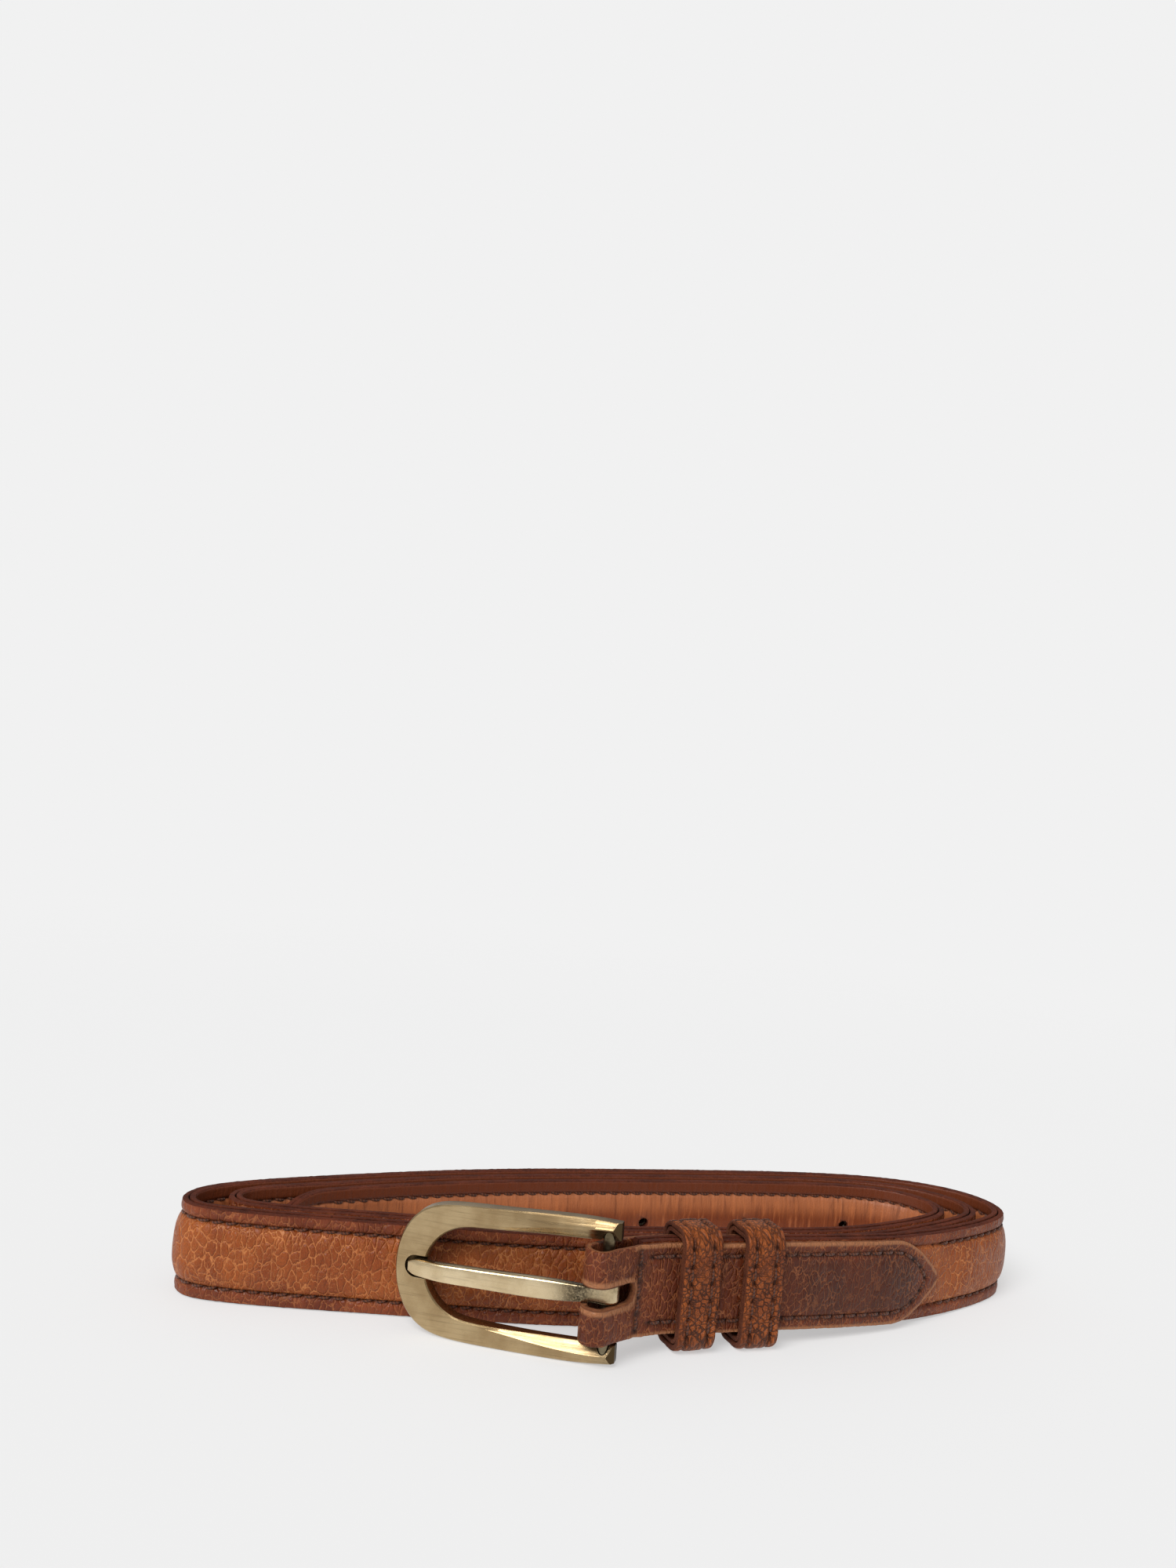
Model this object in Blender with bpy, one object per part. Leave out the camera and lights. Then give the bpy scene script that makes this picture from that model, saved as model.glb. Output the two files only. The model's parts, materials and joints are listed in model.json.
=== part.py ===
"""A slim leather dress belt, coiled two and a half turns and standing on its edge.

Lengths are in millimetres until make_object turns them into metres. The coil's long axis is
X, +Z is up, and the belt stands on Z = 0. The strap's route starts at the buckle's bar. At
arc length s, n is the distance outwards from the strap's middle surface, towards its grain
side, and v is the height from the strap's middle line.
"""
import math

import bmesh
import bpy
import numpy as np
from mathutils import Matrix

MM = 0.001

# Strap: a grain cover over a lining, with a narrow padding strip between them.
STRAP_WIDTH = 20.0
STRAP_THICKNESS = 2.9
PLY_THICKNESS = 1.3
COVER_EDGE_SETBACK = 0.2
PADDING_RISE = 0.9
PADDED_HALF_WIDTH = 6.5
PADDING_HALF_WIDTH = 4.8
STITCH_LINE = 7.0
GROOVE_HALF_WIDTH = 0.55
GROOVE_DEPTH = 0.5
THREAD_RADIUS = 0.2
TOUCH_GAP = 0.3
STRAP_START = 8.5
STACK_STEP = 5.5
PADDING_START = 92.0
PADDING_TAIL = 26.0
FADE_LENGTH = 12.0
TIP_LENGTH = 13.0
TIP_HALF_WIDTH = 3.0

# Punched holes in the tail.
HOLE_COUNT = 5
HOLE_RADIUS = 1.2
HOLE_PITCH = 27.0
FIRST_HOLE_FROM_TIP = 92.0

# Chape: the leather that folds round the bar and ends in a pointed tab on the front.
CHAPE_HALF_WIDTH = 9.5
CHAPE_THICKNESS = 1.4
CHAPE_OFFSET = 2.45
FOLD_RADIUS = 2.65
FOLD_SLACK = 2.6
TAB_LENGTH = 87.8
TAB_POINT = 14.0
REAR_LEG_LENGTH = 47.5
SLOT_HALF_HEIGHT = 2.15
SLOT_DEPTH = 5.3
TAB_TIP_HALF_WIDTH = 1.3
TAB_ROUNDNESS = 0.9
TAB_STITCH_INSET = 2.6
TAB_STITCH_START = 9.5
TAB_STITCH_FROM_TIP = 3.8
TAB_STITCH_ROUNDNESS = 0.75
BAR_STITCH_AT = 6.8

# Keepers: two-ply leather loops round the strap and the chape.
KEEPER_WIDTH = 8.8
KEEPER_CENTRES = {"keeper_fixed": 22.9, "keeper_sliding": 37.75}
KEEPER_INNER_DEPTH = 3.65
KEEPER_INNER_HEIGHT = 10.6
KEEPER_LINING = 0.9
KEEPER_PLY_GAP = 0.2
KEEPER_COVER = 1.2
KEEPER_CORNER = 1.4
KEEPER_STITCH_INSET = 2.0

# Buckle, in its own frame: u runs from the bar to the far end, n is its front, v is up.
BAR_HEIGHT = 15.1
BUCKLE_YAW = 152.4
BUCKLE_DROOP = 1.8
FRAME_HALF_DEPTH = 1.7
FRAME_CHAMFER = 0.5
FRAME_BOW = 1.0
FRAME_LENGTH = 45.0
BAR_RADIUS = 1.25
BAR_HALF_LENGTH = 12.6
BAR_HOLE_RADIUS = 1.5
BAR_HOLE_TOP = 12.95
NOTCH_FLOOR = 0.6
NOTCH_HALF_WIDTH = 2.3
NOTCH_END = 42.8
END_BEVEL = ((-0.9, 1.7), (-2.6, 0.0), (-5.0, 0.0), (-5.0, 4.0), (-0.9, 4.0))
OUTER_OUTLINE = (
    (-2.5, 14.2), (4.0, 14.6), (12.0, 14.6), (22.0, 14.3), (30.0, 14.0),
    (35.5, 13.4), (39.2, 12.0), (42.2, 9.2), (44.3, 5.0), (45.0, 0.0),
)
INNER_OUTLINE = (
    (-2.5, 10.6), (4.0, 10.4), (12.0, 10.3), (20.0, 10.1), (27.0, 9.8),
    (31.8, 9.0), (35.1, 7.0), (37.2, 4.4), (38.1, 2.2), (38.4, 0.0),
)
PRONG_RING_RADIUS = 2.15
PRONG_RING_HALF_THICKNESS = 0.5
PRONG_RING_HALF_HEIGHT = 1.8
PRONG_SHANK = (  # u, n of the middle, half thickness, half height
    (2.5, 2.40, 0.6, 1.55), (5.0, 2.55, 0.9, 1.7), (10.0, 2.95, 1.05, 1.95),
    (20.0, 3.30, 1.1, 2.0), (29.0, 3.35, 1.1, 1.9), (35.6, 3.10, 1.1, 1.8),
    (38.4, 2.60, 1.0, 1.7), (40.6, 2.15, 0.9, 1.5), (41.8, 1.95, 0.6, 1.0),
)

# The strap's route seen from above, from the bar to the tip, and its lift off the surface.
COIL_CENTRE = (0.3, -8.5)
COIL_ROUTE = (
    # Front, behind the chape and the keepers
    (-14.25, -41.5, 5.1), (-1.5, -34.4, 3.9), (5.5, -32.6, 3.3), (13.0, -31.8, 3.05),
    (21.0, -31.1, 3.0), (29.0, -30.1, 2.9), (41.0, -27.7, 2.2), (59.5, -22.7, 1.0),
    # Round the right end and back along the rear
    (74.2, -16.8, 0.3), (85.6, -11.2, 0.0), (92.6, -7.0, 0.0), (97.4, -2.2, 0.0),
    (98.7, 4.0, 0.0), (96.0, 11.8, 0.0), (88.7, 18.6, 0.0), (77.7, 23.4, 0.0),
    (65.0, 25.7, 0.0), (38.5, 26.5, 0.0), (12.6, 25.8, 0.0), (-12.0, 24.6, 0.0),
    (-36.1, 21.8, 0.0), (-59.4, 17.2, 0.0), (-76.0, 13.2, 0.0), (-89.0, 9.0, 0.0),
    # Round the left end and along the front, behind the buckle
    (-96.3, 3.9, 0.0), (-98.0, -0.8, 0.0), (-96.3, -4.7, 0.0), (-91.6, -7.3, 0.0),
    (-81.5, -10.1, 0.0),
    (-62.0, -13.9, 0.0), (-37.0, -18.6, 0.0), (-17.5, -21.4, 0.0), (-2.0, -22.1, 0.0),
    (20.0, -21.9, 0.0), (41.0, -21.5, 0.0), (59.0, -18.3, 0.0), (72.6, -13.0, 0.0),
    # Second right end and rear
    (83.6, -7.6, 0.0), (88.8, -3.4, 0.0), (91.0, 2.2, 0.0), (88.6, 9.6, 0.0),
    (82.6, 15.6, 0.0), (74.8, 19.2, 0.0), (65.0, 21.4, 0.0), (38.5, 22.25, 0.0),
    (12.6, 21.55, 0.0), (-12.0, 20.35, 0.0), (-36.0, 17.55, 0.0), (-58.8, 13.0, 0.0),
    (-73.6, 9.3, 0.0), (-83.8, 6.2, 0.0),
    # Second left end and front
    (-87.0, 4.0, 0.0), (-88.2, 0.8, 0.0), (-86.9, -2.5, 0.0), (-83.7, -4.4, 0.0),
    (-61.3, -9.6, 0.0), (-37.0, -14.35, 0.0), (-17.5, -17.1, 0.0), (-2.0, -17.8, 0.0),
    (20.0, -17.6, 0.0), (38.0, -17.3, 0.0), (55.0, -14.9, 0.0), (68.0, -10.4, 0.0),
    # Third right end, rear, and the tail turning in to the front
    (77.4, -5.6, 0.0), (81.4, -1.4, 0.0), (82.2, 4.0, 0.0), (79.4, 10.2, 0.0),
    (73.0, 14.9, 0.0), (63.0, 17.2, 0.0), (38.5, 18.0, 0.0), (12.6, 17.3, 0.0),
    (-12.0, 16.1, 0.0), (-36.0, 13.3, 0.0), (-56.0, 9.3, 0.0), (-67.5, 6.2, 0.0),
    (-74.2, 3.2, 0.0), (-78.4, -0.6, 0.0),
)
LONGEST_STEP = 17.0
TURN_PER_STEP = math.radians(19.0)


def spline(points, step):
    """A smooth curve through the points: a natural cubic spline over their chord lengths."""
    points = np.array(points, float)
    knots = np.concatenate([[0.0], np.cumsum(np.linalg.norm(np.diff(points, axis=0), axis=1))])
    gaps = np.diff(knots)
    slopes = np.diff(points, axis=0) / gaps[:, None]
    system = np.eye(len(points))
    right = np.zeros_like(points)
    for i in range(1, len(points) - 1):
        system[i, i - 1:i + 2] = gaps[i - 1], 2 * (gaps[i - 1] + gaps[i]), gaps[i]
        right[i] = 6 * (slopes[i] - slopes[i - 1])
    bends = np.linalg.solve(system, right)
    at = np.linspace(0, knots[-1], max(2, round(knots[-1] / step)))
    i = np.clip(np.searchsorted(knots, at, side="right") - 1, 0, len(gaps) - 1)
    low = ((at - knots[i]) / gaps[i])[:, None]
    high = 1 - low
    square = (gaps[i] ** 2)[:, None] / 6
    return (
        high * points[i] + low * points[i + 1]
        + square * ((high ** 3 - high) * bends[i] + (low ** 3 - low) * bends[i + 1])
    )


class Route:
    """The strap's middle line, measured by arc length from the bar's centre."""

    def __init__(self):
        curve = spline([(x, y) for x, y, _ in COIL_ROUTE], 0.5) - np.array(COIL_CENTRE)
        self.curve = curve
        self.s = np.concatenate([[0.0], np.cumsum(np.linalg.norm(np.diff(curve, axis=0), axis=1))])
        self.length = self.s[-1]
        self.tangent = np.gradient(curve, self.s, axis=0)
        self.tangent /= np.linalg.norm(self.tangent, axis=1)[:, None]
        self.heading = np.unwrap(np.arctan2(self.tangent[:, 1], self.tangent[:, 0]))
        chords = [math.dist(a[:2], b[:2]) for a, b in zip(COIL_ROUTE, COIL_ROUTE[1:])]
        self.knots = np.concatenate([[0.0], np.cumsum(chords)])

    def lift_at(self, s):
        """Height of the strap's lower edge above the surface at s."""
        return float(np.interp(s, self.knots, [point[2] for point in COIL_ROUTE]))

    def along(self, s):
        """The unit direction of travel at s."""
        heading = np.interp(s, self.s, self.heading)
        return np.array([math.cos(heading), math.sin(heading)])

    def outward(self, s):
        """The unit direction of the grain side at s."""
        x, y = self.along(s)
        return np.array([y, -x])

    def point(self, s, n, v):
        """World position, in millimetres, of the point (n, v) of the strap's section at s."""
        middle = np.array([np.interp(s, self.s, self.curve[:, k]) for k in (0, 1)])
        x, y = middle + n * self.outward(s)
        return np.array([x, y, self.lift_at(s) + STRAP_WIDTH / 2 + v])

    def stations(self, start, end):
        """Arc lengths from start to end, closer together where the strap bends."""
        within = (self.s > start) & (self.s < end)
        inside = self.s[within]
        bend = np.abs(np.gradient(self.heading, self.s))[within]
        rate = np.maximum(1 / LONGEST_STEP, bend / TURN_PER_STEP)
        count = np.cumsum(rate * np.gradient(inside))
        steps = max(2, math.ceil(count[-1]))
        return [start, *np.interp(np.arange(1, steps) * count[-1] / steps, count, inside), end]


def make_material(name, colour, roughness, metallic=0.0):
    material = bpy.data.materials.new(name)
    material.use_nodes = True
    shader = material.node_tree.nodes["Principled BSDF"]
    shader.inputs["Base Color"].default_value = (*colour, 1.0)
    shader.inputs["Roughness"].default_value = roughness
    shader.inputs["Metallic"].default_value = metallic
    material.diffuse_color = (*colour, 1.0)
    return material


def make_object(name, rings, material, looped=False):
    """A closed skin over rings of points, each ring joined to the next, ends capped or looped."""
    mesh = bpy.data.meshes.new(name)
    skin = bmesh.new()
    verts = [[skin.verts.new(np.asarray(point) * MM) for point in ring] for ring in rings]
    around = len(rings[0])
    pairs = list(zip(verts, verts[1:]))
    if looped:
        pairs.append((verts[-1], verts[0]))
    for first, second in pairs:
        for i in range(around):
            j = (i + 1) % around
            skin.faces.new((first[i], first[j], second[j], second[i]))
    if not looped:
        skin.faces.new(verts[0])
        skin.faces.new(verts[-1])
    bmesh.ops.recalc_face_normals(skin, faces=skin.faces)
    skin.to_mesh(mesh)
    skin.free()
    mesh.shade_smooth()
    mesh.set_sharp_from_angle(angle=math.radians(40))
    obj = bpy.data.objects.new(name, mesh)
    if material:
        mesh.materials.append(material)
    bpy.context.scene.collection.objects.link(obj)
    return obj


def make_cutter(name, rings, looped=False):
    cutter = make_object(name, rings, None, looped)
    cutter.hide_render = True
    cutter.display_type = "WIRE"
    return cutter


def cut(obj, cutter):
    modifier = obj.modifiers.new("cut_" + cutter.name, "BOOLEAN")
    modifier.operation = "DIFFERENCE"
    modifier.solver = "EXACT"
    modifier.object = cutter


def tube(path, radius, sides, side_of):
    """Rings of a thin tube along a path; side_of(i) gives a unit vector across it at point i."""
    path = np.array(path, float)
    directions = np.gradient(path, axis=0)
    rings = []
    for i, (centre, direction) in enumerate(zip(path, directions)):
        side = np.array(side_of(i), float)
        other = np.cross(direction / np.linalg.norm(direction), side)
        rings.append([
            centre + radius * (math.cos(turn) * side + math.sin(turn) * other)
            for turn in np.arange(sides) * 2 * math.pi / sides + math.pi / sides])
    return rings


def cylinder(start, end, radius, sides):
    """The two end rings of a cylinder."""
    start, end = np.array(start, float), np.array(end, float)
    axis = (end - start) / np.linalg.norm(end - start)
    side = np.cross(axis, (0, 0, 1) if abs(axis[2]) < 0.9 else (1, 0, 0))
    side /= np.linalg.norm(side)
    other = np.cross(axis, side)
    turns = np.arange(sides) * 2 * math.pi / sides
    return [
        [at + radius * (math.cos(turn) * side + math.sin(turn) * other) for turn in turns]
        for at in (start, end)]


def pointed(distance, length, full, tip):
    """Half width of a rounded point, from tip at distance 0 to full at the given length."""
    share = min(1.0, max(0.0, distance / length))
    return tip + (full - tip) * math.sqrt(1 - (1 - share) ** 2)


def ogive(share, roundness):
    """0 at the point of the tab, 1 where its sides are straight."""
    return math.sin(math.pi / 2 * min(1.0, max(0.0, share))) ** roundness


def rise_at(route, s):
    """How far the padding lifts the cover's middle at s. It fades out towards both ends."""
    ends = min(s - PADDING_START, route.length - PADDING_TAIL - s)
    share = min(1.0, max(0.0, ends / FADE_LENGTH))
    return PADDING_RISE * share * share * (3 - 2 * share)


def bulge(v, rise):
    return rise * max(0.0, 1 - (v / PADDED_HALF_WIDTH) ** 2)


def make_strap(route, leather, lining_leather, foam, thread):
    """Cover, lining and padding, their two rows of thread, and the holes through them."""
    outer = STRAP_THICKNESS / 2
    ply_inner = outer - PLY_THICKNESS
    half = STRAP_WIDTH / 2
    groove = (STITCH_LINE - GROOVE_HALF_WIDTH, STITCH_LINE + GROOVE_HALF_WIDTH)
    floor = outer - GROOVE_DEPTH
    domed = (-3.6, 0.0, 3.6)

    def narrowing(s):
        return pointed(route.length - s, TIP_LENGTH, half, TIP_HALF_WIDTH) / half

    def cover_section(s):
        rise = rise_at(route, s)
        edge = half - COVER_EDGE_SETBACK
        front = [(outer, -edge), (outer, -groove[1]), (floor, -STITCH_LINE), (outer, -groove[0])]
        front += [(outer + bulge(v, rise), v) for v in domed]
        front += [(outer, groove[0]), (floor, STITCH_LINE), (outer, groove[1]), (outer, edge)]
        back = [(ply_inner, edge)]
        back += [(ply_inner + bulge(v, rise), v) for v in (PADDED_HALF_WIDTH, *domed[::-1],
                                                          -PADDED_HALF_WIDTH)]
        back += [(ply_inner, -edge)]
        return front + back

    def rings(stations, section):
        return [
            [route.point(s, n, v * narrowing(s)) for n, v in section(s)] for s in stations]

    tip_steps = [route.length - TIP_LENGTH * share for share in (0.8, 0.55, 0.35, 0.2, 0.09, 0.03)]
    free = route.stations(TAB_LENGTH + 0.5, route.length - TIP_LENGTH)
    whole = list(np.arange(STRAP_START, TAB_LENGTH, STACK_STEP)) + free + tip_steps + [route.length]
    cover = make_object("strap_cover", rings(whole, cover_section), leather)
    lining = make_object("strap_lining", rings(whole, lambda s: [
        (-outer, -half), (-outer, half), (-ply_inner, half), (-ply_inner, -half)]), lining_leather)

    padding_section = [(ply_inner, -PADDING_HALF_WIDTH), (ply_inner, PADDING_HALF_WIDTH)]
    padding_section += [(ply_inner + bulge(v, PADDING_RISE) - TOUCH_GAP, v)
                        for v in (PADDING_HALF_WIDTH, 2.6, -2.6, -PADDING_HALF_WIDTH)]

    padded = [s for s in whole if rise_at(route, s) == PADDING_RISE]
    padding = make_object("strap_padding", [
        [route.point(s, n, v) for n, v in padding_section] for s in padded], foam)

    for k in range(HOLE_COUNT):
        s = route.length - FIRST_HOLE_FROM_TIP - k * HOLE_PITCH
        cutter = make_cutter(f"hole_cutter_{k + 1}", cylinder(
            route.point(s, -3, 0), route.point(s, 3.5, 0), HOLE_RADIUS, 12))
        for layer in (cover, lining, padding):
            cut(layer, cutter)

    rows = [s for s in whole if TAB_LENGTH < s <= route.length - TIP_LENGTH]
    for name, v in (("strap_thread_upper", STITCH_LINE), ("strap_thread_lower", -STITCH_LINE)):
        path = [route.point(s, outer, v) for s in rows]
        make_object(name, tube(path, THREAD_RADIUS, 4, lambda i: (0, 0, 1)), thread)


def chape_line(route):
    """Centre points, outward directions and half widths of the chape, from tab tip to rear end."""
    line = []
    tip = [TAB_LENGTH - TAB_POINT * share for share in (0.0, 0.05, 0.14, 0.28, 0.45, 0.63, 0.81)]
    stack = list(np.arange(STRAP_START, TAB_LENGTH - TAB_POINT, STACK_STEP))
    for s in tip + stack[::-1] + [4.0, 0.0]:
        widening = (FOLD_RADIUS - CHAPE_OFFSET) * max(0.0, 1 - s / BAR_STITCH_AT)
        half = TAB_TIP_HALF_WIDTH + (CHAPE_HALF_WIDTH - TAB_TIP_HALF_WIDTH) * ogive(
            (TAB_LENGTH - s) / TAB_POINT, TAB_ROUNDNESS)
        line.append((s, route.point(s, CHAPE_OFFSET + widening, 0), route.outward(s), half))
    ahead, out = route.along(0), route.outward(0)
    fold_centre = route.point(0, 0, 0) - FOLD_SLACK * np.array([*ahead, 0])
    for turn in np.radians(np.arange(22.5, 180, 22.5)):
        away = math.cos(turn) * out - math.sin(turn) * ahead
        centre = fold_centre + FOLD_RADIUS * np.array([*away, 0])
        line.append((0.0, centre, away, CHAPE_HALF_WIDTH))
    for s in [0.0, 4.0] + [s for s in stack if s <= REAR_LEG_LENGTH]:
        widening = (FOLD_RADIUS - CHAPE_OFFSET) * max(0.0, 1 - s / BAR_STITCH_AT)
        line.append((s, route.point(s, -CHAPE_OFFSET - widening, 0), -route.outward(s),
                     CHAPE_HALF_WIDTH))
    return line


def make_chape(route, leather, thread):
    """The folded leather with its prong slot, the U of stitches on its tab, and the bar stitches."""
    half_ply = CHAPE_THICKNESS / 2
    rings = []
    for _, centre, out, half in chape_line(route):
        out = np.array([*out, 0])
        up = np.array([0, 0, half])
        inner, outer = centre - half_ply * out, centre + half_ply * out
        rings.append([inner - up, outer - up, outer + up, inner + up])
    chape = make_object("chape", rings, leather)

    ahead, out = np.array([*route.along(0), 0]), np.array([*route.outward(0), 0])
    bar = route.point(0, 0, 0)
    turns = np.radians(np.linspace(90, -90, 7))
    ends = [(SLOT_DEPTH - SLOT_HALF_HEIGHT + SLOT_HALF_HEIGHT * math.cos(turn),
             SLOT_HALF_HEIGHT * math.sin(turn)) for turn in turns]
    outline = [(-8.0, SLOT_HALF_HEIGHT)] + ends + [(-8.0, -SLOT_HALF_HEIGHT)]
    cut(chape, make_cutter("slot_cutter", [
        [bar + a * ahead + np.array([0, 0, b]) + depth * out for a, b in outline]
        for depth in (-6.0, 6.0)]))

    face = CHAPE_OFFSET + half_ply
    high = CHAPE_HALF_WIDTH - TAB_STITCH_INSET
    straight_end = TAB_LENGTH - TAB_POINT
    upper = [(s, high) for s in np.arange(TAB_STITCH_START, straight_end, 6.0)]
    point = [(TAB_LENGTH - TAB_STITCH_FROM_TIP - (TAB_POINT - TAB_STITCH_FROM_TIP) * abs(share),
              math.copysign(high * ogive(abs(share), TAB_STITCH_ROUNDNESS), share))
             for share in (1, 0.8, 0.6, 0.4, 0.22, 0.08, -0.08, -0.22, -0.4, -0.6, -0.8, -1)]
    lower = [(s, -v) for s, v in reversed(upper)]
    route_points = [route.point(s, face, v) for s, v in upper + point + lower]
    sides = [[*route.outward(s), 0] for s, _ in upper + point + lower]
    groove = tube(route_points, THREAD_RADIUS + TOUCH_GAP, 6, lambda i: sides[i])
    cut(chape, make_cutter("tab_groove_cutter", groove))
    make_object("chape_thread", tube(
        route_points, THREAD_RADIUS, 4, lambda i: sides[i]), thread)

    cross = [route.point(BAR_STITCH_AT, face, v) for v in (-7.5, -2.5, 2.5, 7.5)]
    side = [*route.outward(BAR_STITCH_AT), 0]
    ends = [route.point(BAR_STITCH_AT, face, v) for v in (-8.0, 8.0)]
    cut(chape, make_cutter("bar_groove_cutter", tube(
        ends, THREAD_RADIUS + TOUCH_GAP, 6, lambda i: side)))
    make_object("bar_thread", tube(cross, THREAD_RADIUS, 4, lambda i: side), thread)


def rounded_loop(depth, height, corner):
    """Points round a rectangle with rounded corners, as (n, v)."""
    points = []
    for n_sign, v_sign, first in ((1, 1, 0), (-1, 1, 90), (-1, -1, 180), (1, -1, 270)):
        for turn in np.radians(first + np.array([0, 22.5, 45, 67.5, 90])):
            points.append((
                n_sign * (depth - corner) + corner * math.cos(turn),
                v_sign * (height - corner) + corner * math.sin(turn)))
    return points


def make_keeper(route, name, centre, leather, lining_leather, thread):
    """A loop of two plies with a row of thread near each cut edge."""
    place = Matrix.Translation(route.point(centre, 0, 0) * MM) @ Matrix.Rotation(
        math.atan2(*route.along(centre)[::-1]), 4, "Z")

    def band(low, high, corner, half_width, suffix, material):
        loops = [
            rounded_loop(KEEPER_INNER_DEPTH + out, KEEPER_INNER_HEIGHT + out, corner + out)
            for out in (low, high)]
        rings = [
            [(-half_width, -inner[0], inner[1]), (half_width, -inner[0], inner[1]),
             (half_width, -outer[0], outer[1]), (-half_width, -outer[0], outer[1])]
            for inner, outer in zip(*loops)]
        piece = make_object(name + suffix, rings, material, looped=True)
        piece.matrix_world = place
        return piece

    cover_low = KEEPER_LINING + KEEPER_PLY_GAP
    half = KEEPER_WIDTH / 2
    band(0.0, KEEPER_LINING, KEEPER_CORNER, half - 0.2, "_lining", lining_leather)
    cover = band(cover_low, cover_low + KEEPER_COVER, KEEPER_CORNER, half, "_cover", leather)
    out = cover_low + KEEPER_COVER
    surface = rounded_loop(
        KEEPER_INNER_DEPTH + out, KEEPER_INNER_HEIGHT + out, KEEPER_CORNER + out)
    for suffix, x in (("_thread_near_bar", KEEPER_STITCH_INSET - half),
                      ("_thread_far_from_bar", half - KEEPER_STITCH_INSET)):
        for radius, is_cutter in ((0.5, True), (THREAD_RADIUS, False)):
            rings = []
            for (n, v), (rim_n, rim_v) in zip(surface, rounded_loop(
                    KEEPER_INNER_DEPTH + out - 0.2, KEEPER_INNER_HEIGHT + out - 0.2,
                    KEEPER_CORNER + out - 0.2)):
                away = np.array([0, -(n - rim_n), v - rim_v]) / math.hypot(n - rim_n, v - rim_v)
                middle = np.array([x, -rim_n, rim_v])
                rings.append([
                    middle + radius * (math.cos(turn) * away + math.sin(turn) * np.array([1, 0, 0]))
                    for turn in np.radians((45, 135, 225, 315))])
            if is_cutter:
                cutter = make_cutter(name + suffix + "_cutter", rings, looped=True)
                cutter.matrix_world = place
                cut(cover, cutter)
            else:
                make_object(name + suffix, rings, thread, looped=True).matrix_world = place


def bow_at(u):
    """How far the frame's middle stands forward of a flat plane."""
    share = u / FRAME_LENGTH
    return 4 * FRAME_BOW * share * (1 - share)


def make_frame(brass):
    """The open U of the buckle, swept from the upper arm's end to the lower arm's end."""
    pairs = [(*outer, *inner) for outer, inner in zip(OUTER_OUTLINE, INNER_OUTLINE)]
    mirrored = [(a, -b, c, -d) for a, b, c, d in reversed(pairs[:-1])]
    rings = []
    for uo, vo, ui, vi in spline(pairs + mirrored, 2.6):
        outer, inner = np.array([uo, vo]), np.array([ui, vi])
        step = (outer - inner) / np.linalg.norm(outer - inner) * FRAME_CHAMFER
        deep, shallow = FRAME_HALF_DEPTH, FRAME_HALF_DEPTH - FRAME_CHAMFER
        section = (
            (inner + step, -deep), (outer - step, -deep), (outer, -shallow), (outer, shallow),
            (outer - step, deep), (inner + step, deep), (inner, shallow), (inner, -shallow))
        rings.append([(u, n + bow_at(u), v) for (u, v), n in section])
    frame = make_object("buckle_frame", rings, brass)
    notch = ((33.0, NOTCH_FLOOR), (NOTCH_END, NOTCH_FLOOR), (NOTCH_END, 5.0), (33.0, 5.0))
    cutters = [
        make_cutter("notch_cutter", [[(u, n, v) for u, n in notch]
                                     for v in (-NOTCH_HALF_WIDTH, NOTCH_HALF_WIDTH)]),
        make_cutter("bar_hole_cutter", cylinder(
            (0, 0, -BAR_HOLE_TOP), (0, 0, BAR_HOLE_TOP), BAR_HOLE_RADIUS, 16)),
        make_cutter("end_bevel_cutter", [[(u, n, v) for u, n in END_BEVEL] for v in (-16, 16)])]
    for cutter in cutters:
        cut(frame, cutter)
    return [frame, *cutters]


def make_prong(brass):
    """A bar bent round the pin and laid across the frame into its notch."""
    rings = []

    def section(centre, across, half_thickness, half_height):
        """An eight-sided section; across is the direction through the prong's thickness."""
        ring = []
        for a, b in ((-1, -0.6), (-1, 0.6), (-0.5, 1), (0.5, 1), (1, 0.6), (1, -0.6), (0.5, -1),
                     (-0.5, -1)):
            u, n = centre + a * half_thickness * across
            ring.append((u, n, b * half_height))
        rings.append(ring)

    for turn in np.radians(np.arange(-40, -271, -23)):
        across = np.array([math.cos(turn), math.sin(turn)])
        section(PRONG_RING_RADIUS * across, across, PRONG_RING_HALF_THICKNESS,
                PRONG_RING_HALF_HEIGHT)
    shank = spline(PRONG_SHANK, 2.8)
    directions = np.gradient(shank[:, :2], axis=0)
    for (u, n, half_thickness, half_height), (du, dn) in zip(shank, directions):
        across = np.array([-dn, du]) / math.hypot(du, dn)
        section(np.array([u, n]), across, half_thickness, half_height)
    return make_object("buckle_prong", rings, brass)


def make_buckle(route, brass, steel):
    hinge = bpy.data.objects.new("buckle_hinge", None)
    bpy.context.scene.collection.objects.link(hinge)
    hinge.location = route.point(0, 0, BAR_HEIGHT - STRAP_WIDTH / 2 - route.lift_at(0)) * MM
    hinge.rotation_euler = (0, math.radians(BUCKLE_DROOP), math.radians(BUCKLE_YAW))
    bar = make_object("buckle_bar", cylinder(
        (0, 0, -BAR_HALF_LENGTH), (0, 0, BAR_HALF_LENGTH), BAR_RADIUS, 16), steel)
    for piece in (*make_frame(brass), bar, make_prong(brass)):
        piece.parent = hinge


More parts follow.
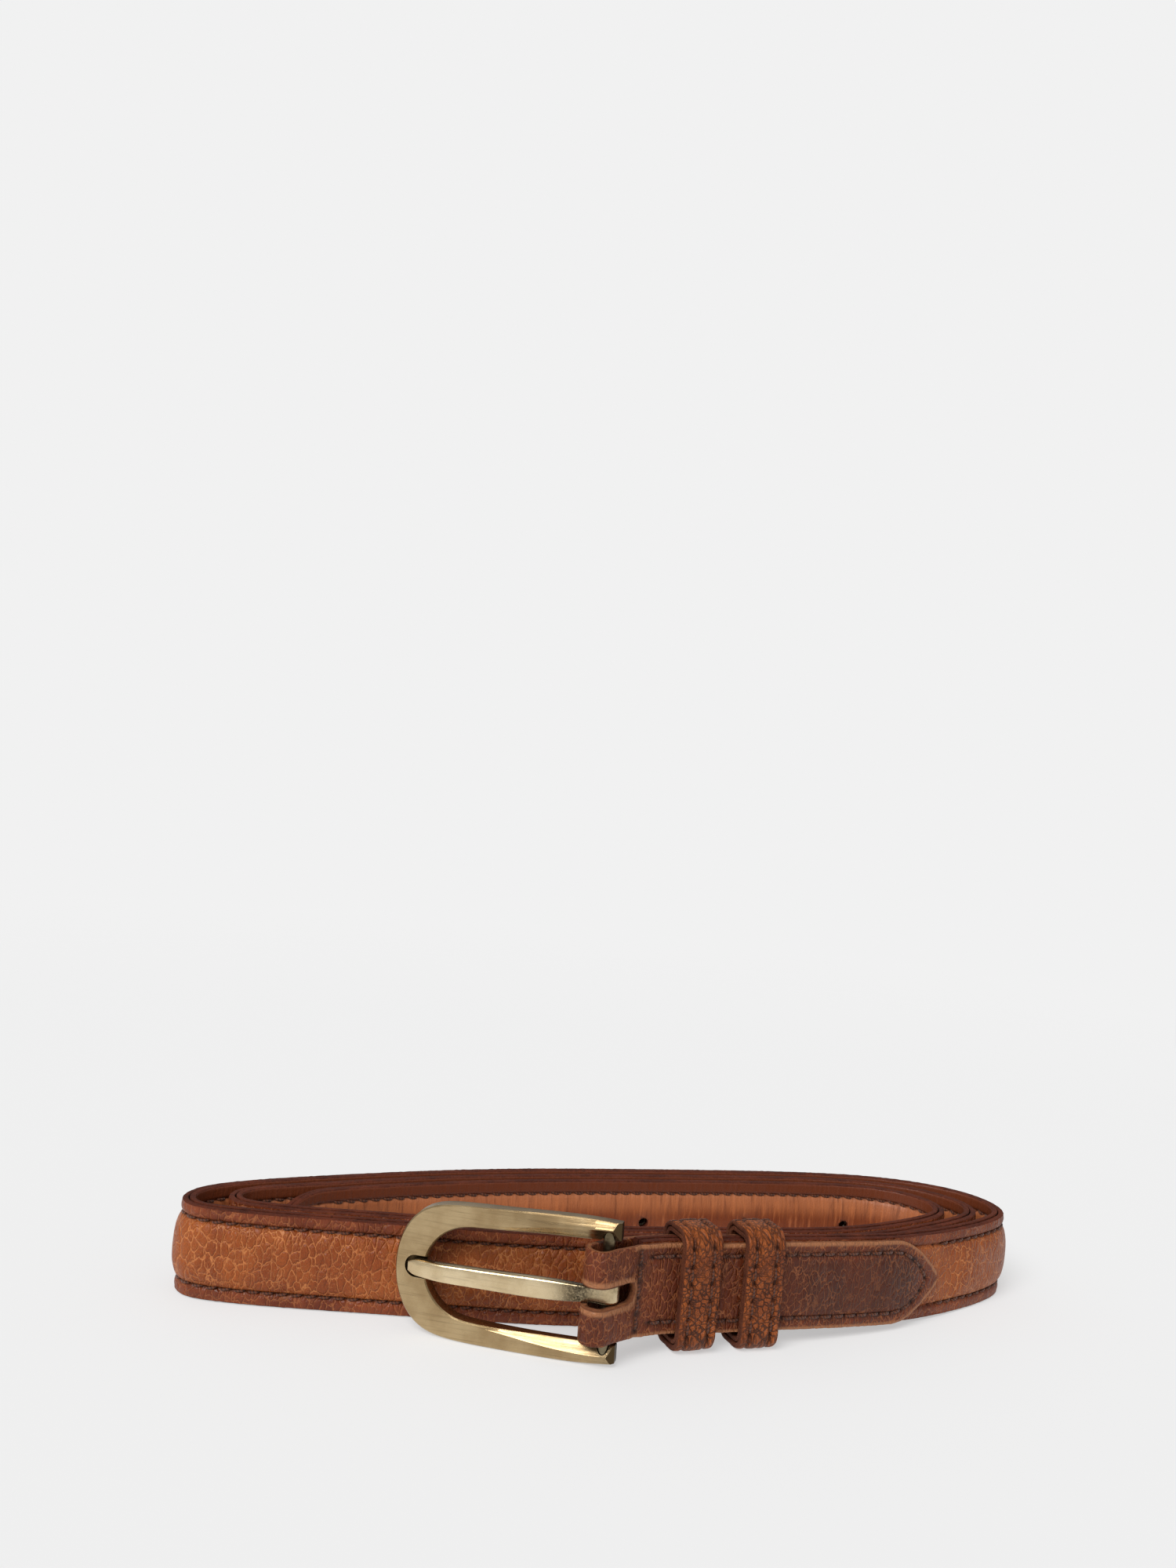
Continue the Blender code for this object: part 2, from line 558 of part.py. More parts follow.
def main():
    for obj in list(bpy.data.objects):
        bpy.data.objects.remove(obj, do_unlink=True)
    leather = make_material("cover_leather", (0.33, 0.10, 0.028), 0.42)
    chape_leather = make_material("chape_leather", (0.24, 0.062, 0.022), 0.45)
    lining_leather = make_material("lining_leather", (0.36, 0.13, 0.04), 0.5)
    foam = make_material("padding_foam", (0.6, 0.55, 0.45), 0.9)
    thread = make_material("thread", (0.17, 0.05, 0.02), 0.7)
    brass = make_material("antique_brass", (0.40, 0.32, 0.16), 0.32, 1.0)
    steel = make_material("bar_steel", (0.35, 0.31, 0.22), 0.35, 1.0)

    route = Route()
    make_strap(route, leather, lining_leather, foam, thread)
    make_chape(route, chape_leather, thread)
    for name, centre in KEEPER_CENTRES.items():
        make_keeper(route, name, centre, leather, lining_leather, thread)
    make_buckle(route, brass, steel)


main()
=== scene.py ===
"""The looks of a slim leather dress belt: its detailed pieces, materials, light and camera.

Shapes are worked out in millimetres, in the CAD's own frame, and turned into metres by build_mesh.
At arc length s along the strap, n is the distance outwards from its middle surface, towards the
grain side, and v is the height from its middle line.
"""

import json
import math

import bmesh
import bpy
import numpy as np
from mathutils import Matrix, Vector, noise


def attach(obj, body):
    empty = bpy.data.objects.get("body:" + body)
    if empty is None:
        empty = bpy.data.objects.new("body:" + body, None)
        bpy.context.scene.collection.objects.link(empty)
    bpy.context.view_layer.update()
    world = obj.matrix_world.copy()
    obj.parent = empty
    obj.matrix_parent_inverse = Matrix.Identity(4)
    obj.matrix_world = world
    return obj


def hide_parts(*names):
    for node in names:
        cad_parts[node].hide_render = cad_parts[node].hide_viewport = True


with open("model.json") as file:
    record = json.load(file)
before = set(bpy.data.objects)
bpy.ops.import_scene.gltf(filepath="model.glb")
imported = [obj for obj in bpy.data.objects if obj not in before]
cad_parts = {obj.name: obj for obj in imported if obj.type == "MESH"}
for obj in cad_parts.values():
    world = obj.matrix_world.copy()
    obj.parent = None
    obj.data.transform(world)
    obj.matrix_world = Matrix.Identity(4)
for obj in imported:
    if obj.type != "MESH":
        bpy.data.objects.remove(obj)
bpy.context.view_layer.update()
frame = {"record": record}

MM = 0.001

# Sizes that the CAD has too
STRAP_WIDTH = 20.0
STRAP_THICKNESS = 2.9
PLY_THICKNESS = 1.3
COVER_EDGE_SETBACK = 0.2
STITCH_LINE = 7.0
STRAP_START = 8.5
PADDING_START = 92.0
PADDING_TAIL = 26.0
FADE_LENGTH = 12.0
PADDING_RISE = 0.9
PADDING_HALF_WIDTH = 4.8
TIP_LENGTH = 13.0
TIP_HALF_WIDTH = 3.0
HOLE_COUNT = 5
HOLE_RADIUS = 1.2
HOLE_PITCH = 27.0
FIRST_HOLE_FROM_TIP = 92.0
CHAPE_HALF_WIDTH = 9.5
CHAPE_THICKNESS = 1.4
CHAPE_OFFSET = 2.45
FOLD_RADIUS = 2.65
FOLD_SLACK = 2.6
TAB_LENGTH = 87.8
TAB_POINT = 14.0
REAR_LEG_LENGTH = 47.5
SLOT_HALF_HEIGHT = 2.15
SLOT_DEPTH = 5.3
TAB_TIP_HALF_WIDTH = 1.3
TAB_ROUNDNESS = 0.9
TAB_STITCH_INSET = 2.6
TAB_STITCH_START = 9.5
TAB_STITCH_FROM_TIP = 3.8
TAB_STITCH_ROUNDNESS = 0.75
BAR_STITCH_AT = 6.8
KEEPER_WIDTH = 8.8
KEEPER_CENTRES = {"keeper_fixed": 22.9, "keeper_sliding": 37.75}
KEEPER_INNER_DEPTH = 3.65
KEEPER_INNER_HEIGHT = 10.6
KEEPER_LINING = 0.9
KEEPER_PLY_GAP = 0.2
KEEPER_COVER = 1.2
KEEPER_CORNER = 1.4
KEEPER_STITCH_INSET = 2.0
BAR_HEIGHT = 15.1
BUCKLE_YAW = 152.4
BUCKLE_DROOP = 1.8
FRAME_HALF_DEPTH = 1.7
FRAME_BOW = 1.0
FRAME_LENGTH = 45.0
BAR_RADIUS = 1.25
BAR_HALF_LENGTH = 12.6
BAR_HOLE_RADIUS = 1.5
BAR_HOLE_TOP = 12.95
NOTCH_FLOOR = 0.6
NOTCH_HALF_WIDTH = 2.3
END_BEVEL = ((-0.9, 1.7), (-2.6, 0.0), (-5.0, 0.0), (-5.0, 4.0), (-0.9, 4.0))
OUTER_OUTLINE = (
    (-2.5, 14.2), (4.0, 14.6), (12.0, 14.6), (22.0, 14.3), (30.0, 14.0),
    (35.5, 13.4), (39.2, 12.0), (42.2, 9.2), (44.3, 5.0), (45.0, 0.0),
)
INNER_OUTLINE = (
    (-2.5, 10.6), (4.0, 10.4), (12.0, 10.3), (20.0, 10.1), (27.0, 9.8),
    (31.8, 9.0), (35.1, 7.0), (37.2, 4.4), (38.1, 2.2), (38.4, 0.0),
)
PRONG_RING_RADIUS = 2.15
PRONG_RING_HALF_THICKNESS = 0.5
PRONG_RING_HALF_HEIGHT = 1.8
PRONG_SHANK = (  # u, n of the middle, half thickness, half height
    (2.5, 2.40, 0.6, 1.55), (5.0, 2.55, 0.9, 1.7), (10.0, 2.95, 1.05, 1.95),
    (20.0, 3.30, 1.1, 2.0), (29.0, 3.35, 1.1, 1.9), (35.6, 3.10, 1.1, 1.8),
    (38.4, 2.60, 1.0, 1.7), (40.6, 2.15, 0.9, 1.5), (41.8, 1.95, 0.6, 1.0),
)
COIL_CENTRE = (0.3, -8.5)
COIL_ROUTE = (
    # Front, behind the chape and the keepers
    (-14.25, -41.5, 5.1), (-1.5, -34.4, 3.9), (5.5, -32.6, 3.3), (13.0, -31.8, 3.05),
    (21.0, -31.1, 3.0), (29.0, -30.1, 2.9), (41.0, -27.7, 2.2), (59.5, -22.7, 1.0),
    # Round the right end and back along the rear
    (74.2, -16.8, 0.3), (85.6, -11.2, 0.0), (92.6, -7.0, 0.0), (97.4, -2.2, 0.0),
    (98.7, 4.0, 0.0), (96.0, 11.8, 0.0), (88.7, 18.6, 0.0), (77.7, 23.4, 0.0),
    (65.0, 25.7, 0.0), (38.5, 26.5, 0.0), (12.6, 25.8, 0.0), (-12.0, 24.6, 0.0),
    (-36.1, 21.8, 0.0), (-59.4, 17.2, 0.0), (-76.0, 13.2, 0.0), (-89.0, 9.0, 0.0),
    # Round the left end and along the front, behind the buckle
    (-96.3, 3.9, 0.0), (-98.0, -0.8, 0.0), (-96.3, -4.7, 0.0), (-91.6, -7.3, 0.0),
    (-81.5, -10.1, 0.0),
    (-62.0, -13.9, 0.0), (-37.0, -18.6, 0.0), (-17.5, -21.4, 0.0), (-2.0, -22.1, 0.0),
    (20.0, -21.9, 0.0), (41.0, -21.5, 0.0), (59.0, -18.3, 0.0), (72.6, -13.0, 0.0),
    # Second right end and rear
    (83.6, -7.6, 0.0), (88.8, -3.4, 0.0), (91.0, 2.2, 0.0), (88.6, 9.6, 0.0),
    (82.6, 15.6, 0.0), (74.8, 19.2, 0.0), (65.0, 21.4, 0.0), (38.5, 22.25, 0.0),
    (12.6, 21.55, 0.0), (-12.0, 20.35, 0.0), (-36.0, 17.55, 0.0), (-58.8, 13.0, 0.0),
    (-73.6, 9.3, 0.0), (-83.8, 6.2, 0.0),
    # Second left end and front
    (-87.0, 4.0, 0.0), (-88.2, 0.8, 0.0), (-86.9, -2.5, 0.0), (-83.7, -4.4, 0.0),
    (-61.3, -9.6, 0.0), (-37.0, -14.35, 0.0), (-17.5, -17.1, 0.0), (-2.0, -17.8, 0.0),
    (20.0, -17.6, 0.0), (38.0, -17.3, 0.0), (55.0, -14.9, 0.0), (68.0, -10.4, 0.0),
    # Third right end, rear, and the tail turning in to the front
    (77.4, -5.6, 0.0), (81.4, -1.4, 0.0), (82.2, 4.0, 0.0), (79.4, 10.2, 0.0),
    (73.0, 14.9, 0.0), (63.0, 17.2, 0.0), (38.5, 18.0, 0.0), (12.6, 17.3, 0.0),
    (-12.0, 16.1, 0.0), (-36.0, 13.3, 0.0), (-56.0, 9.3, 0.0), (-67.5, 6.2, 0.0),
    (-74.2, 3.2, 0.0), (-78.4, -0.6, 0.0),
)

# What the CAD doesn't have: mesh steps, padding that stands proud, stitches, and wear
STRAP_STEP = 0.75
CHAPE_STEP = 0.55
FRAME_STEP = 0.45
BACK_ROUND = 0.35
FRONT_ROUND = 0.30
RIDGE_HALF_WIDTH = 0.12
OUTER_FACET_FALL = 0.55
INNER_FACET_FALL = 1.0
PRONG_STEP = 0.5
KEEPER_STEP = 0.6
OUTER_TURN_RISE = 1.25
OUTER_TURN_END = 470.0
LINING_RISE = 1.1
LINING_RISE_START = 872.0
TAB_RISE = 0.55
STITCH_PITCH = 3.0
STITCH_FILL = 0.74
STITCH_RADIUS = 0.27
HEAVY_STITCH_RADIUS = 0.3
KEEPER_STITCH_PITCH = 3.7
TAB_STITCH_PITCH = 3.3
TAB_STITCH_PHASE = 1.0
BAR_STITCH_PITCH = 3.4
BAR_STITCH_BOTTOM = -8.2
PLY_EDGE_RADIUS = 0.45
SMALL_BEVEL = 0.15
GROOVE_WIDTH = 0.36
FRAY = 0.10
CORNER_POINTS = 3
CIRCLE = np.arange(32) * 2 * math.pi / 32
UP = np.array([0.0, 0.0, 1.0])


def srgb(red, green, blue):
    """A linear colour from display values of 0 to 255."""
    return tuple(
        c / 12.92 if c <= 0.04045 else ((c + 0.055) / 1.055) ** 2.4
        for c in (red / 255, green / 255, blue / 255))


def smooth(share):
    share = np.clip(share, 0.0, 1.0)
    return share * share * (3 - 2 * share)


def bell(distance, width):
    """1 at distance 0, falling smoothly to almost 0 at twice the width."""
    return np.exp(-(distance / width) ** 2)


def chord_lengths(points):
    """How far along the chain of points each one lies."""
    return np.concatenate([[0.0], np.cumsum(np.linalg.norm(np.diff(points, axis=0), axis=1))])


def from_needle_hole(distance, pitch):
    """How far each place is from the nearest needle hole. There is one at 0 and every pitch."""
    return distance - np.round(distance / pitch) * pitch


def rough(points, size, seed=0.0):
    """Smooth noise from -1 to 1 at each point; size is the width of its lumps."""
    flat = np.asarray(points, float).reshape(-1, 3) / size + seed
    return np.array([noise.noise(Vector(p)) for p in flat]).reshape(np.shape(points)[:-1])


def spline(points, step):
    """A smooth curve through the points: a natural cubic spline over their chord lengths."""
    points = np.array(points, float)
    knots = chord_lengths(points)
    gaps = np.diff(knots)
    slopes = np.diff(points, axis=0) / gaps[:, None]
    system = np.eye(len(points))
    right = np.zeros_like(points)
    for i in range(1, len(points) - 1):
        system[i, i - 1:i + 2] = gaps[i - 1], 2 * (gaps[i - 1] + gaps[i]), gaps[i]
        right[i] = 6 * (slopes[i] - slopes[i - 1])
    bends = np.linalg.solve(system, right)
    at = np.linspace(0, knots[-1], max(2, round(knots[-1] / step)))
    i = np.clip(np.searchsorted(knots, at, side="right") - 1, 0, len(gaps) - 1)
    low = ((at - knots[i]) / gaps[i])[:, None]
    high = 1 - low
    square = (gaps[i] ** 2)[:, None] / 6
    return (
        high * points[i] + low * points[i + 1]
        + square * ((high ** 3 - high) * bends[i] + (low ** 3 - low) * bends[i + 1])
    )


class Route:
    """The strap's middle line, measured by arc length from the bar's centre."""

    def __init__(self):
        curve = spline([(x, y) for x, y, _ in COIL_ROUTE], 0.5) - np.array(COIL_CENTRE)
        self.curve = curve
        self.s = chord_lengths(curve)
        self.length = self.s[-1]
        tangent = np.gradient(curve, self.s, axis=0)
        self.heading = np.unwrap(np.arctan2(tangent[:, 1], tangent[:, 0]))
        self.knots = chord_lengths([(x, y) for x, y, _ in COIL_ROUTE])

    def along(self, s):
        """Unit directions of travel at s."""
        heading = np.interp(s, self.s, self.heading)
        return np.stack([np.cos(heading), np.sin(heading), np.zeros_like(heading)], -1)

    def outward(self, s):
        """Unit directions of the grain side at s."""
        along = self.along(s)
        return np.stack([along[..., 1], -along[..., 0], along[..., 2]], -1)

    def point(self, s, n, v):
        """Positions, in millimetres, of the points (n, v) of the strap's section at s."""
        s, n, v = np.broadcast_arrays(*(np.asarray(part, float) for part in (s, n, v)))
        lift = np.interp(s, self.knots, [point[2] for point in COIL_ROUTE])
        middle = np.stack([
            np.interp(s, self.s, self.curve[:, 0]), np.interp(s, self.s, self.curve[:, 1]),
            lift + STRAP_WIDTH / 2 + v], -1)
        return middle + n[..., None] * self.outward(s)


route = Route()
BODY_OF = {
    node: body for body, nodes in frame["record"]["behaviour"]["bodies"].items() for node in nodes}


# ---------------------------------------------------------------- mesh building

def build_mesh(name, verts, faces, materials, face_materials=None, attributes=None, sharp=40):
    """An object from points in millimetres, with vertex attributes and a material per face."""
    mesh = bpy.data.meshes.new(name)
    mesh.from_pydata((np.asarray(verts) * MM).tolist(), [], [list(face) for face in faces])
    for material in materials:
        mesh.materials.append(material)
    if face_materials is not None:
        mesh.polygons.foreach_set("material_index", np.asarray(face_materials, np.int32))
    for key, values in (attributes or {}).items():
        values = np.asarray(values, np.float32)
        kind = "FLOAT_VECTOR" if values.ndim == 2 else "FLOAT"
        layer = mesh.attributes.new(key, kind, "POINT")
        layer.data.foreach_set("vector" if values.ndim == 2 else "value", values.ravel())
    surface = bmesh.new()
    surface.from_mesh(mesh)
    bmesh.ops.recalc_face_normals(surface, faces=surface.faces)
    surface.to_mesh(mesh)
    surface.free()
    mesh.shade_smooth()
    mesh.set_sharp_from_angle(angle=math.radians(sharp))
    obj = bpy.data.objects.new(name, mesh)
    bpy.context.scene.collection.objects.link(obj)
    return obj


def skin(name, rings, materials, columns=None, attributes=None, looped=False, cap=0, sharp=40):
    """A closed skin over rings of points. columns gives each strip of faces its material."""
    rings = np.asarray(rings, float)
    count, around = rings.shape[:2]
    index = np.arange(count * around).reshape(count, around)
    after = np.roll(index, -1, axis=1)
    if looped:
        low, high, low_after, high_after = (
            index, np.roll(index, -1, axis=0), after, np.roll(after, -1, axis=0))
    else:
        low, high, low_after, high_after = index[:-1], index[1:], after[:-1], after[1:]
    quads = np.stack([low, low_after, high_after, high], -1).reshape(-1, 4)
    face_materials = np.tile(columns if columns is not None else np.zeros(around, int), len(low))
    faces = quads.tolist()
    if not looped:
        faces += [index[0].tolist(), index[-1].tolist()]
        face_materials = np.concatenate([face_materials, [cap, cap]])
    flat = {
        key: np.asarray(values, float).reshape(count * around, *np.shape(values)[2:])
        for key, values in (attributes or {}).items()}
    return build_mesh(
        name, rings.reshape(-1, 3), faces, materials, face_materials, flat, sharp)


def cut(obj, cutters):
    """Takes closed cutter objects away from obj, and removes them."""
    for cutter in cutters:
        modifier = obj.modifiers.new("cut", "BOOLEAN")
        modifier.operation = "DIFFERENCE"
        modifier.solver = "MANIFOLD"
        modifier.object = cutter
    bpy.context.view_layer.update()
    graph = bpy.context.evaluated_depsgraph_get()
    done = bpy.data.meshes.new_from_object(obj.evaluated_get(graph))
    obj.modifiers.clear()
    obj.data = done
    for cutter in cutters:
        bpy.data.objects.remove(cutter, do_unlink=True)


def stitches(name, ends, normals, radius, lift=0.16):
    """Short rounded threads, each from one needle hole to the next, arching over the leather."""
    around = 8
    shares = np.array([0.0, 0.06, 0.25, 0.5, 0.75, 0.94, 1.0])
    widths = np.array([0.45, 0.8, 1.0, 1.0, 1.0, 0.8, 0.45])
    heights = np.array([-1.3, -0.6, 0.55, 1.0, 0.55, -0.6, -1.3])
    turns = np.arange(around) * math.tau / around
    verts, faces, marks = [], [], []
    for (start, end), normal in zip(ends, normals):
        start, end, normal = (np.asarray(part, float) for part in (start, end, normal))
        along = (end - start) / np.linalg.norm(end - start)
        side = np.cross(along, normal)
        first = len(verts)
        for share, width, height in zip(shares, widths, heights):
            middle = start + (end - start) * share + normal * height * lift
            for turn in turns:
                verts.append(
                    middle + radius * width * (math.cos(turn) * side + math.sin(turn) * normal))
                marks.append((share * np.linalg.norm(end - start) * MM, turn / math.tau, 0.0))
        for ring in range(first, len(verts) - around, around):
            for k in range(around):
                a, b = ring + k, ring + (k + 1) % around
                faces.append((a, b, b + around, a + around))
        faces.append(tuple(range(first, first + around)))
        faces.append(tuple(range(len(verts) - around, len(verts))))
    return build_mesh(name, verts, faces, [THREAD], attributes={"place": np.array(marks)})


def hand_in(obj, slot, *nodes):
    """The piece rides where its CAD nodes do and stands for them, which are hidden. slot is not
    used.
    """
    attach(obj, BODY_OF[nodes[0]])
    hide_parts(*nodes)


# ---------------------------------------------------------------- materials

MARGIN_FROM = 6.9
MARGIN_TO = 7.3


class Nodes:
    """A material's node tree, with short ways to add nodes."""

    def __init__(self, name):
        self.material = bpy.data.materials.new(name)
        self.material.use_nodes = True
        self.tree = self.material.node_tree
        self.shader = self.tree.nodes["Principled BSDF"]
        place = self.tree.nodes.new("ShaderNodeAttribute")
        place.attribute_name = "place"
        self.place = place.outputs["Vector"]

    def add(self, kind, values, **settings):
        node = self.tree.nodes.new(kind)
        for key, value in settings.items():
            setattr(node, key, value)
        for key, value in values.items():
            self.put(node.inputs[key], value)
        return node

    def put(self, socket, value):
        if isinstance(value, bpy.types.NodeSocket):
            self.tree.links.new(value, socket)
        elif isinstance(value, tuple) and len(value) == 3 and socket.type == "RGBA":
            socket.default_value = (*value, 1.0)
        else:
            socket.default_value = value

    def attribute(self, name):
        node = self.tree.nodes.new("ShaderNodeAttribute")
        node.attribute_name = name
        return node.outputs["Fac"]

    def maths(self, operation, first, second=0.5, third=0.5):
        node = self.add("ShaderNodeMath", {0: first, 1: second, 2: third}, operation=operation)
        return node.outputs[0]

    def vector(self, operation, first, second):
        return self.add("ShaderNodeVectorMath", {0: first, 1: second},
                        operation=operation).outputs[0]

    def ramp(self, value, low, high, to_low=0.0, to_high=1.0):
        """value from low to high becomes to_low to to_high, smoothly and clamped."""
        return self.add("ShaderNodeMapRange", {
            "Value": value, "From Min": low, "From Max": high, "To Min": to_low,
            "To Max": to_high}, interpolation_type="SMOOTHSTEP").outputs[0]

    def mix(self, share, first, second, blend="MIX"):
        node = self.add("ShaderNodeMix", {0: share, 6: first, 7: second},
                        data_type="RGBA", blend_type=blend)
        return node.outputs[2]

    def noise(self, vector, scale, detail=3.0, roughness=0.55):
        return self.add("ShaderNodeTexNoise", {
            "Vector": vector, "Scale": scale, "Detail": detail, "Roughness": roughness})

    def scaled(self, vector, factors):
        return self.vector("MULTIPLY", vector, factors)

    def cells(self, vector, scale, feature="DISTANCE_TO_EDGE"):
        return self.add("ShaderNodeTexVoronoi", {"Vector": vector, "Scale": scale},
                        feature=feature)

    def split(self, vector):
        return self.add("ShaderNodeSeparateXYZ", {0: vector}).outputs

    def bump(self, height, distance, strength, normal=None):
        values = {"Height": height, "Distance": distance, "Strength": strength}
        if normal is not None:
            values["Normal"] = normal
        return self.add("ShaderNodeBump", values).outputs[0]

    def set(self, **values):
        for key, value in values.items():
            self.put(self.shader.inputs[key.replace("_", " ")], value)


def leather(name, light, dark, crack, cell=2.6, crack_share=0.07, crack_strength=0.75,
            fine_strength=0.4, roughness=0.42, bump=0.6, stretch=(1.0, 1.0, 1.0), margin=None,
            patina_and_shade=None):
    """Grained leather: irregular cells outlined by creases, over slow changes of colour.

    cell is their size in millimetres. margin is the two colours beyond the strap's stitches, and
    worn the colour where the surface is rubbed, as the attribute "raw" says.
    """
    n = Nodes(name)
    base = n.scaled(n.place, stretch)
    wobble = n.noise(base, 420.0, 2.0).outputs["Color"]
    offset = n.scaled(n.vector("SUBTRACT", wobble, (0.5, 0.5, 0.5)), (0.0022, 0.0022, 0.0022))
    warped = n.vector("ADD", base, offset)
    large = n.cells(warped, 1000.0 / cell).outputs["Distance"]
    small = n.cells(warped, 2300.0 / cell).outputs["Distance"]
    patches = n.noise(base, 95.0, 4.0).outputs["Fac"]
    fine = n.noise(base, 2600.0, 3.0).outputs["Fac"]
    strength = n.ramp(n.noise(base, 160.0, 2.0).outputs["Fac"], 0.34, 0.62, 0.55, 1.0)
    line = n.ramp(large, 0.0, crack_share, 1.0, 0.0)
    thin = n.ramp(small, 0.0, crack_share * 0.9, 1.0, 0.0)
    fine_mask = n.ramp(n.noise(base, 240.0, 2.0).outputs["Fac"], 0.36, 0.55)
    lines = n.maths("MAXIMUM", n.maths("MULTIPLY", line, strength),
                    n.maths("MULTIPLY", n.maths("MULTIPLY", thin, fine_mask), fine_strength))
    colour = n.mix(n.ramp(patches, 0.25, 0.75), dark, light)
    grain_shade = n.ramp(fine, 0.3, 0.7, 0.86, 1.1)
    colour = n.mix(1.0, colour, n.add("ShaderNodeCombineColor", {
        0: grain_shade, 1: grain_shade, 2: grain_shade}).outputs[0], "MULTIPLY")
    shown = n.maths("MULTIPLY", lines, crack_strength)
    height = n.maths("SUBTRACT", n.ramp(large, 0.0, 0.22), n.maths("MULTIPLY", thin, 0.35))
    if margin is not None:
        v = n.maths("ABSOLUTE", n.split(n.place)[1])
        beyond = n.ramp(v, MARGIN_FROM * MM, MARGIN_TO * MM)
        colour = n.mix(beyond, colour, n.mix(n.ramp(patches, 0.3, 0.7), margin[0], margin[1]))
        shown = n.maths("MULTIPLY", shown, n.ramp(beyond, 0.0, 1.0, 1.0, 0.45))
    colour = n.mix(shown, colour, crack)
    # Painted shade, almost black, where the attribute "shade" says: stitch grooves, needle holes,
    # creases and the tab's panel
    painted_shade = n.attribute("shade")
    colour = n.mix(painted_shade, colour, tuple(c * 0.16 for c in dark))
    if patina_and_shade is not None:
        colour = n.mix(n.attribute("raw"), colour, patina_and_shade)
    grain = n.bump(fine, 0.00012, 0.35)
    normal = n.bump(height, 0.00035, bump, grain)
    gloss = n.ramp(n.noise(base, 130.0, 3.0).outputs["Fac"], 0.3, 0.7, roughness - 0.07,
                   roughness + 0.12)
    n.set(Base_Color=colour, Roughness=gloss, Normal=normal, Specular_IOR_Level=0.28)
    return n.material


def lining_leather(name, light, dark, margin):
    """Smooth lining leather with fine upright creases and a darker margin, painted lighter towards
    the top and darker below as painted light and shade.
    """
    n = Nodes(name)
    streaks = n.noise(n.scaled(n.place, (1150.0, 130.0, 100.0)), 1.0, 4.0, 0.6).outputs["Fac"]
    patches = n.noise(n.place, 70.0, 3.0).outputs["Fac"]
    fine = n.noise(n.place, 2400.0, 3.0).outputs["Fac"]
    # Painted light and shade: lighter towards the top of the face and darker below, over random
    # patches
    painted_top_light = n.ramp(n.split(n.place)[1], 1.0 * MM, 5.2 * MM, 0.0, 0.8)
    top_light_and_patches = n.maths("ADD", painted_top_light, n.ramp(patches, 0.3, 0.7, 0.0, 0.25))
    colour = n.mix(top_light_and_patches, dark, light)
    colour = n.mix(n.ramp(streaks, 0.52, 0.7, 0.0, 0.45), colour, tuple(c * 0.5 for c in dark))
    colour = n.mix(n.ramp(streaks, 0.3, 0.48, 0.4, 0.0), colour,
                   tuple(min(1.0, c * 1.35) for c in light))
    v = n.maths("ABSOLUTE", n.split(n.place)[1])
    colour = n.mix(n.ramp(v, 6.7 * MM, 7.2 * MM), colour, margin)
    # Painted shade in the needle holes, where the attribute "shade" says
    colour = n.mix(n.attribute("shade"), colour, tuple(c * 0.16 for c in dark))
    height = n.maths("ADD", n.maths("MULTIPLY", streaks, 0.8), n.maths("MULTIPLY", fine, 0.25))
    n.set(Base_Color=colour, Roughness=n.ramp(streaks, 0.3, 0.7, 0.36, 0.55),
          Normal=n.bump(height, 0.0005, 0.55), Specular_IOR_Level=0.35)
    return n.material


def edge_leather(name, light, dark, fibre=0.7):
    """A cut leather edge: fibrous, matt and uneven."""
    n = Nodes(name)
    where = n.add("ShaderNodeTexCoord", {}).outputs["Object"]
    fibres = n.noise(where, 1500.0, 5.0, 0.65).outputs["Fac"]
    patches = n.noise(where, 180.0, 3.0).outputs["Fac"]
    colour = n.mix(n.ramp(patches, 0.22, 0.78), dark, light)
    colour = n.mix(n.ramp(fibres, 0.5, 0.72, 0.0, 0.6), colour, tuple(c * 0.35 for c in dark))
    colour = n.mix(n.ramp(fibres, 0.28, 0.45, 0.5, 0.0), colour,
                   tuple(min(1.0, c * 1.5) for c in light))
    n.set(Base_Color=colour, Roughness=0.78, Normal=n.bump(fibres, 0.0006, fibre),
          Specular_IOR_Level=0.25)
    return n.material


def thread_material(name, colour, dark):
    """Twisted sewing thread: slanted strands."""
    n = Nodes(name)
    parts = n.split(n.place)
    along = n.maths("MULTIPLY", parts[0], 2600.0)
    phase = n.maths("ADD", along, n.maths("MULTIPLY", parts[1], 2.0))
    strands = n.maths("PINGPONG", phase, 1.0)
    colour = n.mix(n.ramp(strands, 0.0, 0.8), dark, colour)
    n.set(Base_Color=colour, Roughness=0.6, Normal=n.bump(strands, 0.00008, 0.8),
          Sheen_Weight=0.2, Specular_IOR_Level=0.3)
    return n.material


def brass_material(name, light, dark, patina, roughness=0.3, streak=(70.0, 1900.0, 1900.0)):
    """Antique brass: fine brushing along the buckle, with darker patina in its hollows and painted
    shade, both where the attribute "shade" says.
    """
    n = Nodes(name)
    brushed = n.noise(n.scaled(n.place, streak), 1.0, 4.0, 0.7).outputs["Fac"]
    clouds = n.noise(n.place, 110.0, 4.0).outputs["Fac"]
    colour = n.mix(n.ramp(clouds, 0.32, 0.68), dark, light)
    colour = n.mix(n.ramp(brushed, 0.5, 0.75, 0.0, 0.3), colour, patina)
    pits = n.noise(n.place, 2300.0, 3.0, 0.7).outputs["Fac"]
    # Patina and painted shade: towards the patina colour where the attribute "shade" says
    patina_and_shade = n.maths("MULTIPLY", n.attribute("shade"), n.ramp(pits, 0.3, 0.62, 0.55, 1.0))
    colour = n.mix(patina_and_shade, colour, patina)
    gloss = n.ramp(brushed, 0.3, 0.75, roughness - 0.06, roughness + 0.14)
    n.set(Base_Color=colour, Metallic=1.0, Roughness=gloss,
          Normal=n.bump(n.maths("ADD", brushed, n.maths("MULTIPLY", pits, 0.4)), 0.00006, 0.5))
    return n.material


